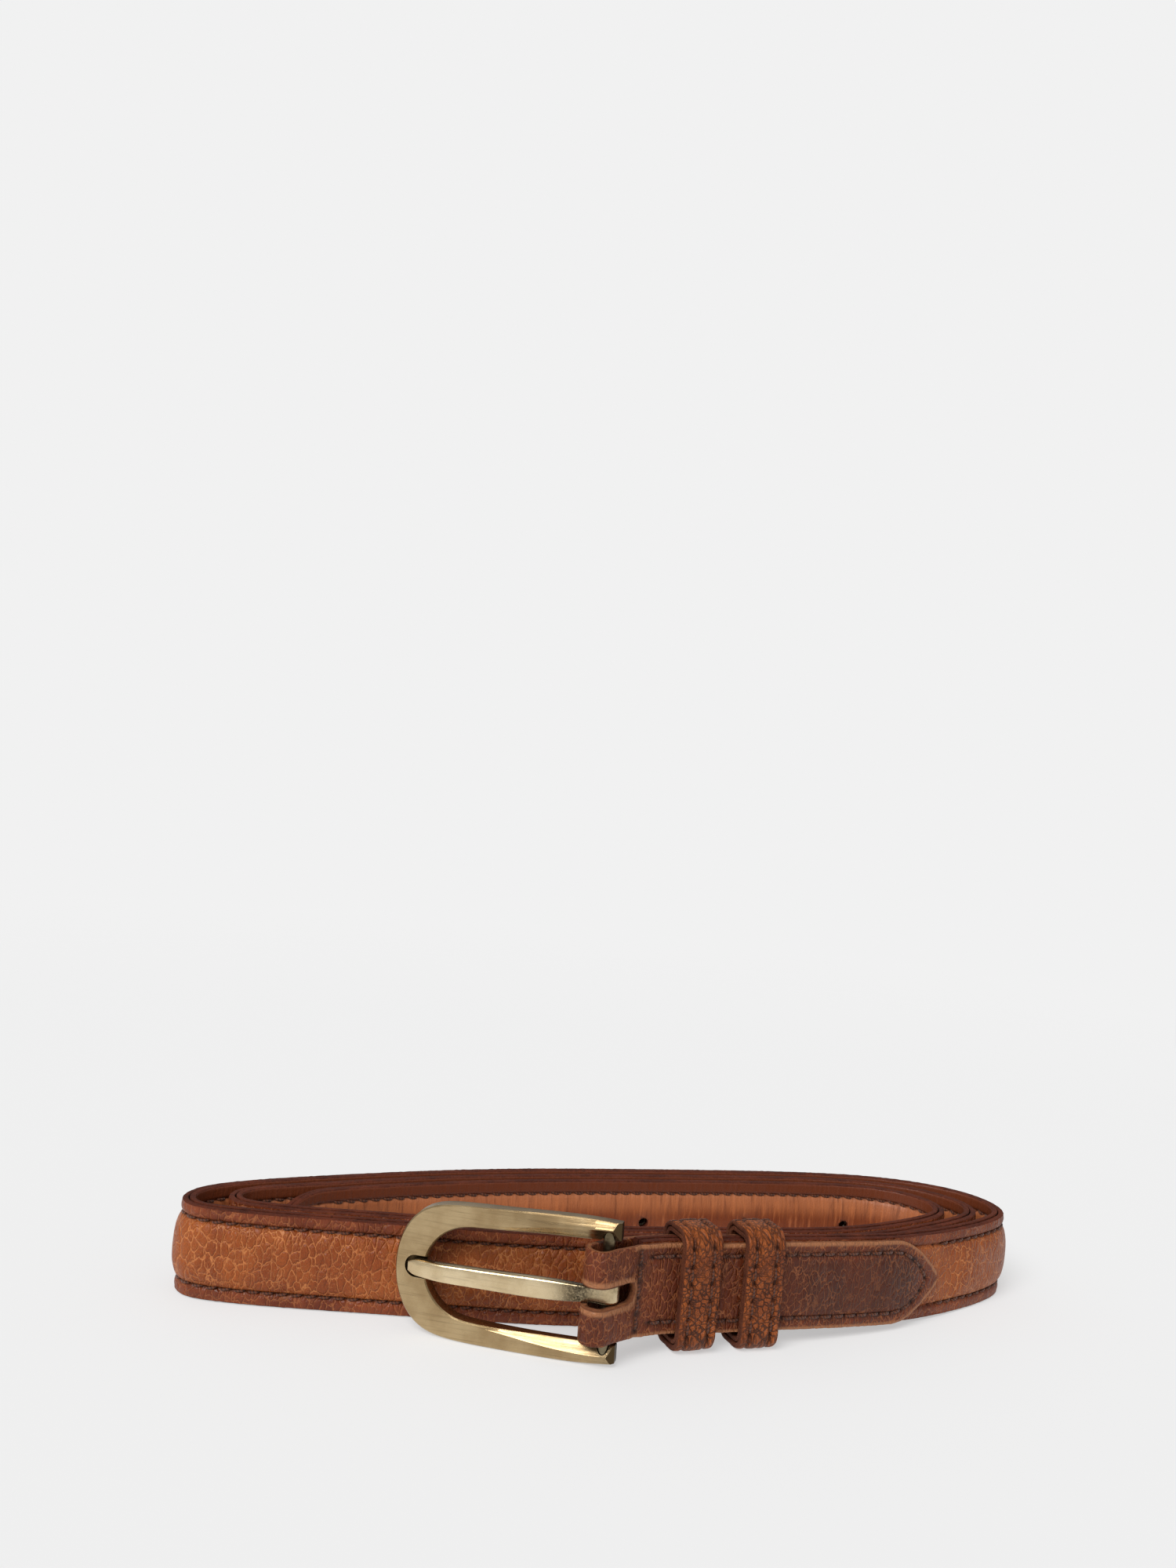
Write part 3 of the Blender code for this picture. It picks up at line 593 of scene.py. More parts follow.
COVER = leather(
    "cover_leather", srgb(157, 80, 30), srgb(124, 55, 17), srgb(208, 134, 78), cell=2.3,
    crack_share=0.065, crack_strength=0.68, fine_strength=0.6, stretch=(1.45, 0.8, 1.0),
    roughness=0.38, margin=(srgb(100, 42, 19), srgb(130, 62, 31)))
CHAPE = leather(
    "chape_leather", srgb(106, 46, 20), srgb(78, 31, 12), srgb(170, 102, 58), cell=1.9,
    crack_share=0.065, crack_strength=0.7, fine_strength=0.65, stretch=(1.45, 0.7, 1.0),
    roughness=0.42, patina_and_shade=srgb(160, 104, 68))
KEEPER = leather(
    "keeper_leather", srgb(182, 96, 38), srgb(114, 50, 18), srgb(40, 14, 5), cell=1.2,
    crack_share=0.16, crack_strength=0.9, fine_strength=0.3, roughness=0.45, bump=1.0)
# Its light and dark colours are also the painted light at the top and the painted shade below
LINING = lining_leather(
    "lining_leather", srgb(172, 102, 62), srgb(112, 47, 15), srgb(108, 52, 27))
STRAP_EDGE = edge_leather("strap_edge", srgb(102, 45, 23), srgb(70, 27, 12))
RAW_EDGE = edge_leather("raw_edge", srgb(146, 92, 58), srgb(112, 64, 38))
KEEPER_EDGE = edge_leather("keeper_edge", srgb(110, 60, 36), srgb(76, 35, 20))
THREAD = thread_material("thread", srgb(98, 50, 25), srgb(46, 21, 11))
BRASS = brass_material("antique_brass", srgb(192, 168, 128), srgb(164, 138, 100), srgb(66, 50, 31))
# Painted shade: a darker, rougher copy of the antique brass for the frame's end faces and the
# walls of the notch, bore and bevel
SHADED_BRASS_END = brass_material("shaded_brass_end", srgb(96, 78, 52), srgb(66, 52, 34), srgb(30, 23, 15), 0.4)
# Painted light: a lighter copy of the antique brass, standing for the light on the prong's top
LIT_PRONG_BRASS = brass_material(
    "lit_prong_brass", srgb(236, 216, 178), srgb(206, 183, 143), srgb(36, 30, 22), 0.26,
    streak=(60.0, 900.0, 900.0))
STEEL = brass_material("bar_steel", srgb(150, 138, 112), srgb(110, 98, 74), srgb(50, 42, 30), 0.32)
FOAM = edge_leather("padding_foam", srgb(200, 190, 165), srgb(170, 158, 130))


# ---------------------------------------------------------------- strap

OUTER = STRAP_THICKNESS / 2
PLY_INNER = OUTER - PLY_THICKNESS
HALF = STRAP_WIDTH / 2


def narrowing(s):
    """The strap's half width at s, as a share of the full one: the tip is a rounded point."""
    share = np.clip((route.length - s) / TIP_LENGTH, 0, 1)
    return (TIP_HALF_WIDTH + (HALF - TIP_HALF_WIDTH) * np.sqrt(1 - (1 - share) ** 2)) / HALF


def padding_fade(s):
    """1 along the padded part of the strap, 0 at its two ends."""
    return smooth(np.minimum(s - PADDING_START, route.length - PADDING_TAIL - s) / FADE_LENGTH)


def strap_needle_holes(s_grid, v_all, on_face):
    """1 at the needle holes of the strap's two rows beyond the tab, falling to 0 round them."""
    across = bell(np.abs(v_all)[None, :] - STITCH_LINE, 0.4)
    along = bell(from_needle_hole(s_grid - TAB_LENGTH, STITCH_PITCH), 0.42)
    return along * across * on_face * (s_grid > TAB_LENGTH)


def ply_section(low, face, high, rest):
    """n and v right round a ply, 1 where a point is on its face, and each strip's material."""
    n_all, v_all = np.concatenate([low, face, high, rest]).T
    on_face = np.zeros_like(n_all)
    on_face[CORNER_POINTS:CORNER_POINTS + len(face)] = 1
    columns = np.ones(len(n_all), int)
    columns[CORNER_POINTS - 1:CORNER_POINTS + len(face)] = 0
    return n_all, v_all, on_face, columns


def frayed(v_grid, v_all, place, beyond, seed):
    """The heights of the section's points, uneven on the cut edges beyond the given height."""
    fray = rough(place * np.array([1, 1, 3.0]), 0.9, seed) * FRAY
    return v_grid + np.where(np.abs(v_all)[None, :] > beyond, fray, 0.0)


def strap_stations():
    steps = np.linspace(STRAP_START, route.length - TIP_LENGTH, int(
        (route.length - TIP_LENGTH - STRAP_START) / STRAP_STEP))
    tip = route.length - TIP_LENGTH * (1 - np.sin(np.linspace(0, math.pi / 2, 30)[1:]))
    return np.concatenate([steps, tip])


def edge_curve(corner_v, corner_n, turns):
    """(n, v) points of a ply's rounded corner."""
    turns = np.radians(turns)
    return np.stack([corner_n + PLY_EDGE_RADIUS * np.cos(turns),
                     corner_v + PLY_EDGE_RADIUS * np.sin(turns)], 1)


def cover_profile():
    """v across the grain side, from the lower edge to the upper one."""
    inner = np.linspace(-6.3, 6.3, 22)
    lower = np.array([-9.35, -9.0, -8.6, -8.2, -7.8, -7.45, -7.2, -7.0, -6.8, -6.55])
    return np.concatenate([lower, inner, -lower[::-1]])


def make_cover():
    s = strap_stations()
    edge = HALF - COVER_EDGE_SETBACK
    v_face = cover_profile()
    n_face = np.full_like(v_face, OUTER)
    n_face -= 0.42 * bell(np.abs(v_face) - STITCH_LINE, GROOVE_WIDTH)
    n_face += np.where(np.abs(v_face) > STITCH_LINE + 0.5,
                       0.16 * (1 - (np.abs(v_face) - 8.4) ** 2).clip(0, 1), 0.0)
    corner_v, corner_n = edge - PLY_EDGE_RADIUS, OUTER - PLY_EDGE_RADIUS
    under = np.array([4.8, 2.4, 0.0, -2.4, -4.8])
    back = [(PLY_INNER + SMALL_BEVEL, edge), (PLY_INNER, edge - SMALL_BEVEL)]
    back += [(PLY_INNER, v) for v in under]
    back += [(PLY_INNER, -edge + SMALL_BEVEL), (PLY_INNER + SMALL_BEVEL, -edge)]
    n_all, v_all, on_face, columns = ply_section(
        edge_curve(-corner_v, corner_n, (270, 300, 330)), np.stack([n_face, v_face], 1),
        edge_curve(corner_v, corner_n, (30, 60, 90)), back)
    domes = np.zeros_like(n_all)
    domes[on_face > 0] = np.where(
        np.abs(v_face) < STITCH_LINE, 1 - np.abs(v_face / 6.75) ** 3.2, 0.0).clip(0)
    domes[-7:-2] = (1 - (under / 6.5) ** 2) * 0.98
    outermost = 1 - smooth((s - OUTER_TURN_END) / 40.0)
    rise_front = PADDING_RISE + (OUTER_TURN_RISE - PADDING_RISE) * outermost
    rise = np.where(on_face > 0, rise_front[:, None], PADDING_RISE) * padding_fade(s)[:, None]
    n_grid = n_all[None, :] + rise * domes
    v_grid = v_all[None, :] * narrowing(s)[:, None]
    s_grid = np.broadcast_to(s[:, None], n_grid.shape)
    holes = strap_needle_holes(s_grid, v_all, on_face)
    place = np.stack([s_grid, v_grid, n_grid], -1)
    lumps = rough(place, 7.0) * 0.10 + rough(place, 2.4, 5.0) * 0.035
    pucker = bell(np.abs(v_all)[None, :] - 8.2, 0.7) * np.cos(
        (s_grid - TAB_LENGTH) * math.tau / STITCH_PITCH) * 0.045
    n_grid = n_grid + (lumps - 0.09 + pucker) * on_face - 0.35 * holes
    v_grid = frayed(v_grid, v_all, place, edge - 0.3, 9.0)
    # Painted shade: darker in the stitch grooves beyond the tab and in the needle holes
    groove = bell(np.abs(v_all)[None, :] - STITCH_LINE, 0.3) * on_face
    shade = np.clip(0.42 * groove * (s_grid > TAB_LENGTH) + 0.8 * holes, 0, 1)
    return skin("cover_shell", route.point(s_grid, n_grid, v_grid), [COVER, STRAP_EDGE], columns,
                {"place": place * MM, "shade": shade}, cap=1)


def make_lining():
    s = strap_stations()
    v_face = cover_profile() * 1.02
    n_face = 0.28 * bell(np.abs(v_face) - STITCH_LINE, GROOVE_WIDTH) - OUTER
    corner_v, corner_n = HALF - PLY_EDGE_RADIUS, PLY_EDGE_RADIUS - OUTER
    inner = [(-PLY_INNER - SMALL_BEVEL, HALF), (-PLY_INNER, HALF - SMALL_BEVEL)]
    inner += [(-PLY_INNER, v) for v in (5.0, 0.0, -5.0)]
    inner += [(-PLY_INNER, -HALF + SMALL_BEVEL), (-PLY_INNER - SMALL_BEVEL, -HALF)]
    n_all, v_all, on_face, columns = ply_section(
        edge_curve(-corner_v, corner_n, (270, 240, 210)), np.stack([n_face, v_face], 1),
        edge_curve(corner_v, corner_n, (150, 120, 90)), inner)
    domes = np.zeros_like(n_all)
    domes[on_face > 0] = np.where(
        np.abs(v_face) < STITCH_LINE, 1 - np.abs(v_face / 6.9) ** 2.3, 0.0).clip(0)
    free = smooth((s - LINING_RISE_START) / 25.0)[:, None]
    s_grid = np.broadcast_to(s[:, None], (len(s), len(n_all)))
    v_grid = v_all[None, :] * narrowing(s)[:, None]
    n_grid = n_all[None, :] - LINING_RISE * free * padding_fade(s)[:, None] * domes
    place = np.stack([s_grid, v_grid, n_grid], -1)
    creases = rough(place * np.array([1.0, 0.12, 0.0]), 1.6, 3.0) * 0.09
    creases = creases + rough(place, 8.0, 4.0) * 0.06
    creases = creases * free * on_face * (1 - 0.7 * (np.abs(v_all)[None, :] > STITCH_LINE))
    holes = strap_needle_holes(s_grid, v_all, on_face)
    punched = route.length - FIRST_HOLE_FROM_TIP - np.arange(HOLE_COUNT) * HOLE_PITCH
    away = np.hypot(np.abs(s_grid[..., None] - punched).min(-1), v_grid)
    dished = bell(away - HOLE_RADIUS, 1.1) * on_face
    n_grid = n_grid + creases + 0.3 * holes + 0.25 * dished
    v_grid = frayed(v_grid, v_all, place, HALF - 0.3, 19.0)
    # Painted shade in the needle holes
    return skin("lining_skin", route.point(s_grid, n_grid, v_grid), [LINING, STRAP_EDGE], columns,
                {"place": place * MM, "shade": 0.8 * holes}, cap=1)


def make_padding():
    s = np.arange(
        PADDING_START + FADE_LENGTH, route.length - PADDING_TAIL - FADE_LENGTH, 3.0)
    profile = [(PLY_INNER + 0.02, -PADDING_HALF_WIDTH), (PLY_INNER + 0.02, PADDING_HALF_WIDTH)]
    profile += [(PLY_INNER + PADDING_RISE * (1 - (v / 6.5) ** 2) - 0.3, v)
                for v in (4.8, 4.0, 2.6, 1.3, 0.0, -1.3, -2.6, -4.0, -4.8)]
    n_all, v_all = np.array(profile).T
    s_grid = np.broadcast_to(s[:, None], (len(s), len(n_all)))
    place = np.stack(np.broadcast_arrays(s_grid, v_all[None, :], n_all[None, :]), -1)
    return skin("padding_strip", route.point(s_grid, n_all[None, :], v_all[None, :]), [FOAM],
                attributes={"place": place * MM})


def punch_cutters(material):
    """One cylinder through the strap at each punched hole."""
    cutters = []
    for k in range(HOLE_COUNT):
        s = route.length - FIRST_HOLE_FROM_TIP - k * HOLE_PITCH
        radii = [HOLE_RADIUS * (math.cos(t) * route.along(s) + math.sin(t) * UP) for t in CIRCLE]
        rings = [[route.point(s, depth, 0.0) + radius for radius in radii]
                 for depth in (-4.0, 4.0)]
        cutters.append(skin(f"punch_{k}", rings, [material]))
    return cutters


def strap_stitch_rows(v):
    """Ends and outward directions of the stitches of one row, on both sides of the strap."""
    ends, normals = [], []
    gap = 0.5 * (1 - STITCH_FILL) * STITCH_PITCH
    for side, depth in ((1, OUTER - 0.30), (-1, -OUTER + 0.20)):
        for s in np.arange(TAB_LENGTH + STITCH_PITCH, route.length - TIP_LENGTH - 1.0,
                           STITCH_PITCH):
            slip = 0.10 * math.sin(s * 1.7) + 0.16
            ends.append((route.point(s + gap, depth, v - slip),
                         route.point(s + STITCH_PITCH - gap, depth, v + slip)))
            normals.append(side * route.outward(s + STITCH_PITCH / 2))
    return ends, normals


def make_strap():
    cover, lining, padding = make_cover(), make_lining(), make_padding()
    for layer, material in ((cover, STRAP_EDGE), (lining, STRAP_EDGE), (padding, FOAM)):
        cut(layer, punch_cutters(material))
    hand_in(cover, "cover_leather", "strap_cover")
    hand_in(lining, "lining_leather", "strap_lining")
    hand_in(padding, "padding", "strap_padding")
    for name, v in (("upper", STITCH_LINE), ("lower", -STITCH_LINE)):
        ends, normals = strap_stitch_rows(v)
        row = stitches(f"strap_stitches_{name}", ends, normals, STITCH_RADIUS)
        hand_in(row, "thread", f"strap_thread_{name}")


# ---------------------------------------------------------------- chape

def chape_stations():
    """Arc length, side of the strap, middle point, outward direction and half width, in order."""
    tip = TAB_LENGTH - TAB_POINT * (1 - np.cos(np.linspace(0, math.pi / 2, 36)))
    straight = np.arange(TAB_LENGTH - TAB_POINT - CHAPE_STEP, 0, -CHAPE_STEP)
    rows = [(s, 1, *chape_leg(s, 1)) for s in (*tip, *straight, 0.0)]
    ahead, out = route.along(0.0), route.outward(0.0)
    for s in np.arange(-CHAPE_STEP, -FOLD_SLACK, -CHAPE_STEP):
        rows.append((s, 1, route.point(0.0, FOLD_RADIUS, 0.0) + s * ahead, out, CHAPE_HALF_WIDTH))
    fold_centre = route.point(0.0, 0.0, 0.0) - FOLD_SLACK * ahead
    for turn in np.radians(np.arange(6, 180, 6)):
        away = math.cos(turn) * out - math.sin(turn) * ahead
        rows.append((-FOLD_SLACK - turn * FOLD_RADIUS, 1, fold_centre + FOLD_RADIUS * away, away,
                     CHAPE_HALF_WIDTH))
    return rows + [(s, -1, *chape_leg(s, -1)) for s in np.arange(0, REAR_LEG_LENGTH, CHAPE_STEP)]


def ogive(share, roundness):
    """0 at the point of the tab, 1 where its sides are straight."""
    return np.sin(math.pi / 2 * np.clip(share, 0, 1)) ** roundness


def chape_leg(s, side):
    """Middle point, outward direction and half width of the chape at s, on one side."""
    widening = (FOLD_RADIUS - CHAPE_OFFSET) * max(0.0, 1 - s / BAR_STITCH_AT)
    half = TAB_TIP_HALF_WIDTH + (CHAPE_HALF_WIDTH - TAB_TIP_HALF_WIDTH) * ogive(
        (TAB_LENGTH - s) / TAB_POINT, TAB_ROUNDNESS)
    return (route.point(s, side * (CHAPE_OFFSET + widening), 0.0), side * route.outward(s),
            half if side > 0 else CHAPE_HALF_WIDTH)


def tab_stitch_path():
    """(s, v) of the U of stitches, from the keepers round the point and back."""
    high = CHAPE_HALF_WIDTH - TAB_STITCH_INSET
    upper = [(s, high) for s in np.arange(TAB_STITCH_START, TAB_LENGTH - TAB_POINT, 0.5)]
    shares = 1 - np.sin(np.linspace(0, math.pi / 2, 40)) ** 1.3
    from_tip = TAB_STITCH_FROM_TIP + (TAB_POINT - TAB_STITCH_FROM_TIP) * shares
    upper += list(zip(TAB_LENGTH - from_tip, high * ogive(shares, TAB_STITCH_ROUNDNESS)))
    return np.array(upper + [(s, -v) for s, v in reversed(upper[:-1])])


def nearest(s, v, rows, path):
    """For the grid's given rows, the distance to the path's nearest point, and its number."""
    gap, number = np.full(v.shape, 99.0), np.zeros(v.shape, int)
    for row in np.nonzero(rows)[0]:
        gaps = np.hypot(path[:, 0][None, :] - s[row], path[:, 1][None, :] - v[row][:, None])
        gap[row], number[row] = gaps.min(1), gaps.argmin(1)
    return gap, number


def make_chape():
    s, side, centre, out, half = (np.array(part) for part in zip(*chape_stations()))
    s_grid = s[:, None]
    half_ply = CHAPE_THICKNESS / 2
    middle = np.linspace(-0.9, 0.9, 29)
    shares = np.array([-1.0, -0.985, -0.95, *middle, 0.95, 0.985, 1.0])
    sag = np.array([0.32, 0.1, 0.02, *(0 * middle), 0.02, 0.1, 0.32])
    v = shares[None, :] * half[:, None]
    is_front = (side > 0) & (s > -20)
    place = np.stack(np.broadcast_arrays(s_grid, v, side[:, None] * 2.0), -1)

    # Marks: the padded middle of the tab, its U of stitches, and the upright row by the bar, with
    # painted shade in them
    tab = (smooth((s - 44) / 8) * smooth((TAB_LENGTH - 3 - s) / 8) * (side > 0))[:, None]
    dome = tab * TAB_RISE * (1 - np.abs(v / 6.6) ** 2.6).clip(0)
    path = tab_stitch_path()
    gap, number = nearest(s, v, is_front & (s > 4), path)
    groove = bell(gap, 0.5)
    holes = groove * bell(from_needle_hole(
        chord_lengths(path)[number] - TAB_STITCH_PHASE, TAB_STITCH_PITCH), 0.5)
    crease = bell(s_grid - BAR_STITCH_AT, 1.1) * (side > 0)[:, None]
    bar_holes = crease * bell(from_needle_hole(v + 8.0, BAR_STITCH_PITCH), 0.6)
    # Painted shade in the stitch grooves, the needle holes and the crease by the bar
    shade = 0.55 * groove + 0.7 * holes + 0.4 * crease + 0.6 * bar_holes
    # Painted shade over the tab's panel inside its stitches, for the tab turned away from the
    # light
    shade = np.clip(shade + 0.4 * tab * smooth((6.6 - np.abs(v)) / 1.5), 0, 1)

    near_bar = (smooth((17 - s) / 8) * smooth((s - 1) / 4) * (side > 0))[:, None]
    wrinkles = rough(place * np.array([0.25, 1, 0]), 1.5, 2.0) * near_bar * 0.22
    lumps = rough(place, 5.0, 1.0) * 0.08 + rough(place, 1.8, 6.0) * 0.035
    pressed = 0.36 * groove + 0.3 * holes + 0.40 * crease
    top = half_ply + dome + lumps - pressed + wrinkles - sag
    under = -half_ply + sag - 0.10 * crease
    v_out = v + np.where(np.abs(shares) > 0.97, rough(place, 0.8, 7.0) * FRAY, 0.0)
    outer, inner = (
        centre[:, None] + n[..., None] * out[:, None] + v_out[..., None] * UP
        for n in (top, under))

    # Worn pale: round the slot and along the edges
    beyond = np.maximum(s_grid - SLOT_DEPTH + SLOT_HALF_HEIGHT, 0.0)
    from_slot = np.hypot(beyond, v) - SLOT_HALF_HEIGHT
    raw = smooth((1.5 - from_slot + rough(place, 1.0, 8.0) * 0.25) / 0.5) * is_front[:, None]
    rim = is_front & (s > 4)
    to_edge, _ = nearest(s, np.abs(v), rim, np.stack([s[rim], half[rim]], 1))
    raw = np.maximum(raw, smooth((0.95 + 0.2 * rough(place, 1.2, 3.0) - to_edge) / 0.4) * 0.95)

    zero = np.zeros_like(raw)
    columns = np.zeros(2 * len(shares), int)
    columns[len(shares) - 1::len(shares)] = 1
    chape = skin("chape_fold", np.concatenate([outer, inner[:, ::-1]], 1), [CHAPE, RAW_EDGE],
                 columns, {
                     "place": np.concatenate([place, place[:, ::-1]], 1) * MM,
                     "raw": np.concatenate([raw, zero], 1),
                     "shade": np.concatenate([shade, zero], 1)}, cap=1)
    cut(chape, [slot_cutter()])
    hand_in(chape, "chape_leather", "chape")


def slot_cutter():
    bar, ahead, out = route.point(0.0, 0.0, 0.0), route.along(0.0), route.outward(0.0)
    ends = [(SLOT_DEPTH - SLOT_HALF_HEIGHT + SLOT_HALF_HEIGHT * math.cos(turn),
             SLOT_HALF_HEIGHT * math.sin(turn)) for turn in np.radians(np.linspace(90, -90, 25))]
    outline = [(-8.0, SLOT_HALF_HEIGHT)] + ends + [(-8.0, -SLOT_HALF_HEIGHT)]
    return skin("slot_cutter", [
        [bar + a * ahead + b * UP + depth * out for a, b in outline]
        for depth in (-7.0, 7.0)], [RAW_EDGE])


def make_chape_stitches():
    path = tab_stitch_path()
    lengths = chord_lengths(path)
    face = CHAPE_OFFSET + CHAPE_THICKNESS / 2 - 0.22
    ends, normals = [], []
    for at in np.arange(TAB_STITCH_PHASE, lengths[-1] - TAB_STITCH_PITCH, TAB_STITCH_PITCH):
        pair = []
        for distance in (at + 0.35, at + TAB_STITCH_PITCH - 0.35):
            s, v = (np.interp(distance, lengths, path[:, k]) for k in (0, 1))
            pair.append(route.point(s, face, v))
        ends.append(pair)
        normals.append(route.outward(np.interp(at + 1.5, lengths, path[:, 0])))
    row = stitches("tab_stitches", ends, normals, HEAVY_STITCH_RADIUS)
    hand_in(row, "thread", "chape_thread")
    ends = [[route.point(BAR_STITCH_AT, face - 0.2, v + 0.4),
             route.point(BAR_STITCH_AT, face - 0.2, v + BAR_STITCH_PITCH - 0.4)]
            for v in np.arange(BAR_STITCH_BOTTOM, -BAR_STITCH_BOTTOM - 0.2, BAR_STITCH_PITCH)]
    row = stitches("bar_stitches", ends, [route.outward(BAR_STITCH_AT)] * len(ends),
                   HEAVY_STITCH_RADIUS)
    hand_in(row, "thread", "bar_thread")


# ---------------------------------------------------------------- keepers

def loop_stations():
    """Points and outward directions round the keeper's inner face, evenly spaced, as (n, v)."""
    depth, height, corner = KEEPER_INNER_DEPTH, KEEPER_INNER_HEIGHT, KEEPER_CORNER
    points, normals = [], []
    corners = ((-1, 1, 90), (-1, -1, 180), (1, -1, 270), (1, 1, 0))
    for k, (n_sign, v_sign, first) in enumerate(corners):
        middle = np.array([n_sign * (depth - corner), v_sign * (height - corner)])
        for turn in np.radians(first + np.linspace(0, 90, 11)):
            normal = np.array([math.cos(turn), math.sin(turn)])
            points.append(middle + corner * normal)
            normals.append(normal)
        following = corners[(k + 1) % 4]
        start = points[-1]
        end_turn = math.radians(following[2])
        end = np.array([following[0] * (depth - corner), following[1] * (height - corner)])
        end = end + corner * np.array([math.cos(end_turn), math.sin(end_turn)])
        steps = max(2, int(np.linalg.norm(end - start) / KEEPER_STEP))
        for share in np.arange(1, steps) / steps:
            points.append(start + share * (end - start))
            normals.append(normals[-1])
    return np.array(points), np.array(normals)


def keeper_place(centre):
    """Turns (x along the strap, n, v) into world millimetres."""
    along, out = route.along(centre), route.outward(centre)
    middle = route.point(centre, 0.0, 0.0)
    axes = np.stack([along, out, UP])
    return lambda points: middle + np.asarray(points) @ axes


def make_keeper(name, centre, seed):
    put = keeper_place(centre)
    base, normal = loop_stations()
    around = chord_lengths(base)
    low = KEEPER_LINING + KEEPER_PLY_GAP
    half = KEEPER_WIDTH / 2
    middle = np.linspace(-half + 0.7, half - 0.7, 23)
    x_top = np.array([-half, -half + 0.1, -half + 0.35, *middle, half - 0.35, half - 0.1, half])
    sag = np.array([0.38, 0.12, 0.02, *(0 * middle), 0.02, 0.12, 0.38])
    stitch_x = half - KEEPER_STITCH_INSET
    count = len(x_top)
    x = np.concatenate([x_top, x_top[::-1]])
    top = np.concatenate([np.ones(count), np.zeros(count)])
    out = np.concatenate([low + KEEPER_COVER - sag, low + sag])
    groove = bell(np.abs(x) - stitch_x, 0.42) * top
    dome = 0.18 * (1 - (x / half) ** 2) * top
    a_grid, x_grid = np.meshgrid(around, x, indexing="ij")
    place = np.stack([x_grid, a_grid, np.broadcast_to(out, x_grid.shape)], -1)
    holes = groove * bell(from_needle_hole(a_grid, KEEPER_STITCH_PITCH), 0.5)
    grit = rough(place, 0.75, seed) * 0.07 + rough(place, 3.0, seed + 4) * 0.07
    behind = smooth(-2 * normal[:, :1]) * top
    distance = out + dome - 0.30 * groove - 0.35 * holes + grit * top - 0.2 * behind
    fray = rough(place, 0.8, seed + 9) * 0.09
    x_out = x_grid + np.where(np.abs(x)[None, :] > half - 0.2, fray, 0.0)
    flat = base[:, None] + distance[..., None] * normal[:, None]
    columns = np.zeros(2 * count, int)
    columns[count - 2:] = 1
    columns[0] = 1
    # Painted shade in the stitch grooves and needle holes
    shade = np.clip(0.35 * groove + 0.9 * holes, 0, 1)
    cover = skin(f"{name}_outer_loop", put(np.concatenate([x_out[..., None], flat], -1)),
                 [KEEPER, KEEPER_EDGE], columns, {"place": place * MM, "shade": shade},
                 looped=True)
    hand_in(cover, "keeper_leather", f"{name}_cover")

    narrow, bevel = half - 0.2, 0.12
    ring = [(-narrow, bevel), (-narrow + bevel, 0.0), (narrow - bevel, 0.0), (narrow, bevel),
            (narrow, KEEPER_LINING - bevel), (narrow - bevel, KEEPER_LINING),
            (-narrow + bevel, KEEPER_LINING), (-narrow, KEEPER_LINING - bevel)]
    xs, outs = np.array(ring).T
    flat = base[:, None] + outs[None, :, None] * normal[:, None]
    grid = np.concatenate([np.broadcast_to(xs[None, :, None], (*flat.shape[:2], 1)), flat], -1)
    lining = skin(f"{name}_inner_loop", put(grid), [KEEPER_EDGE], looped=True,
                  attributes={"place": grid * MM})
    hand_in(lining, "lining_leather", f"{name}_lining")

    closed, turned = (np.vstack([points, points[:1]]) for points in (base, normal))
    wrapped = chord_lengths(closed)

    def on_loop(distance, x, height):
        """The place that far round the loop, and its outward direction, as (x, n, v)."""
        point = [np.interp(distance, wrapped, closed[:, k]) for k in (0, 1)]
        away = np.array([np.interp(distance, wrapped, turned[:, k]) for k in (0, 1)])
        away = away / np.linalg.norm(away)
        return np.array([x, *(point + height * away)]), np.array([0, *away])

    for end, x_at in (("near_bar", -stitch_x), ("far_from_bar", stitch_x)):
        ends, normals = [], []
        for at in np.arange(0.0, wrapped[-1] - KEEPER_STITCH_PITCH, KEEPER_STITCH_PITCH):
            ends.append([
                put(on_loop(distance, x_at, low + KEEPER_COVER - 0.28)[0])
                for distance in (at + 0.45, at + KEEPER_STITCH_PITCH - 0.45)])
            _, away = on_loop(at + KEEPER_STITCH_PITCH / 2, x_at, 0.0)
            normals.append(put(away) - put([0, 0, 0]))
        row = stitches(f"{name}_stitches_{end}", ends, normals, HEAVY_STITCH_RADIUS)
        hand_in(row, "thread", f"{name}_thread_{end}")


# ---------------------------------------------------------------- buckle

hinge_matrix = (
    Matrix.Rotation(math.radians(BUCKLE_YAW), 3, "Z")
    @ Matrix.Rotation(math.radians(BUCKLE_DROOP), 3, "Y"))
HINGE_AXES = np.array(hinge_matrix)
HINGE_AT = np.array([*route.point(0.0, 0.0, 0.0)[:2], BAR_HEIGHT])


def on_buckle(points):
    """World millimetres of points (u, n, v) in the buckle's own frame."""
    return HINGE_AT + np.asarray(points, float) @ HINGE_AXES.T


def bow_at(u):
    """How far the frame's middle bows forwards at u."""
    share = u / FRAME_LENGTH
    return 4 * FRAME_BOW * share * (1 - share)


def cutter(name, *rings):
    """A closed cutter over rings of (u, n, v) points."""
    return skin(f"{name}_cutter", on_buckle(rings), [SHADED_BRASS_END])


def pin_ring(radius, v):
    return [(radius * math.cos(t), radius * math.sin(t), v) for t in CIRCLE]


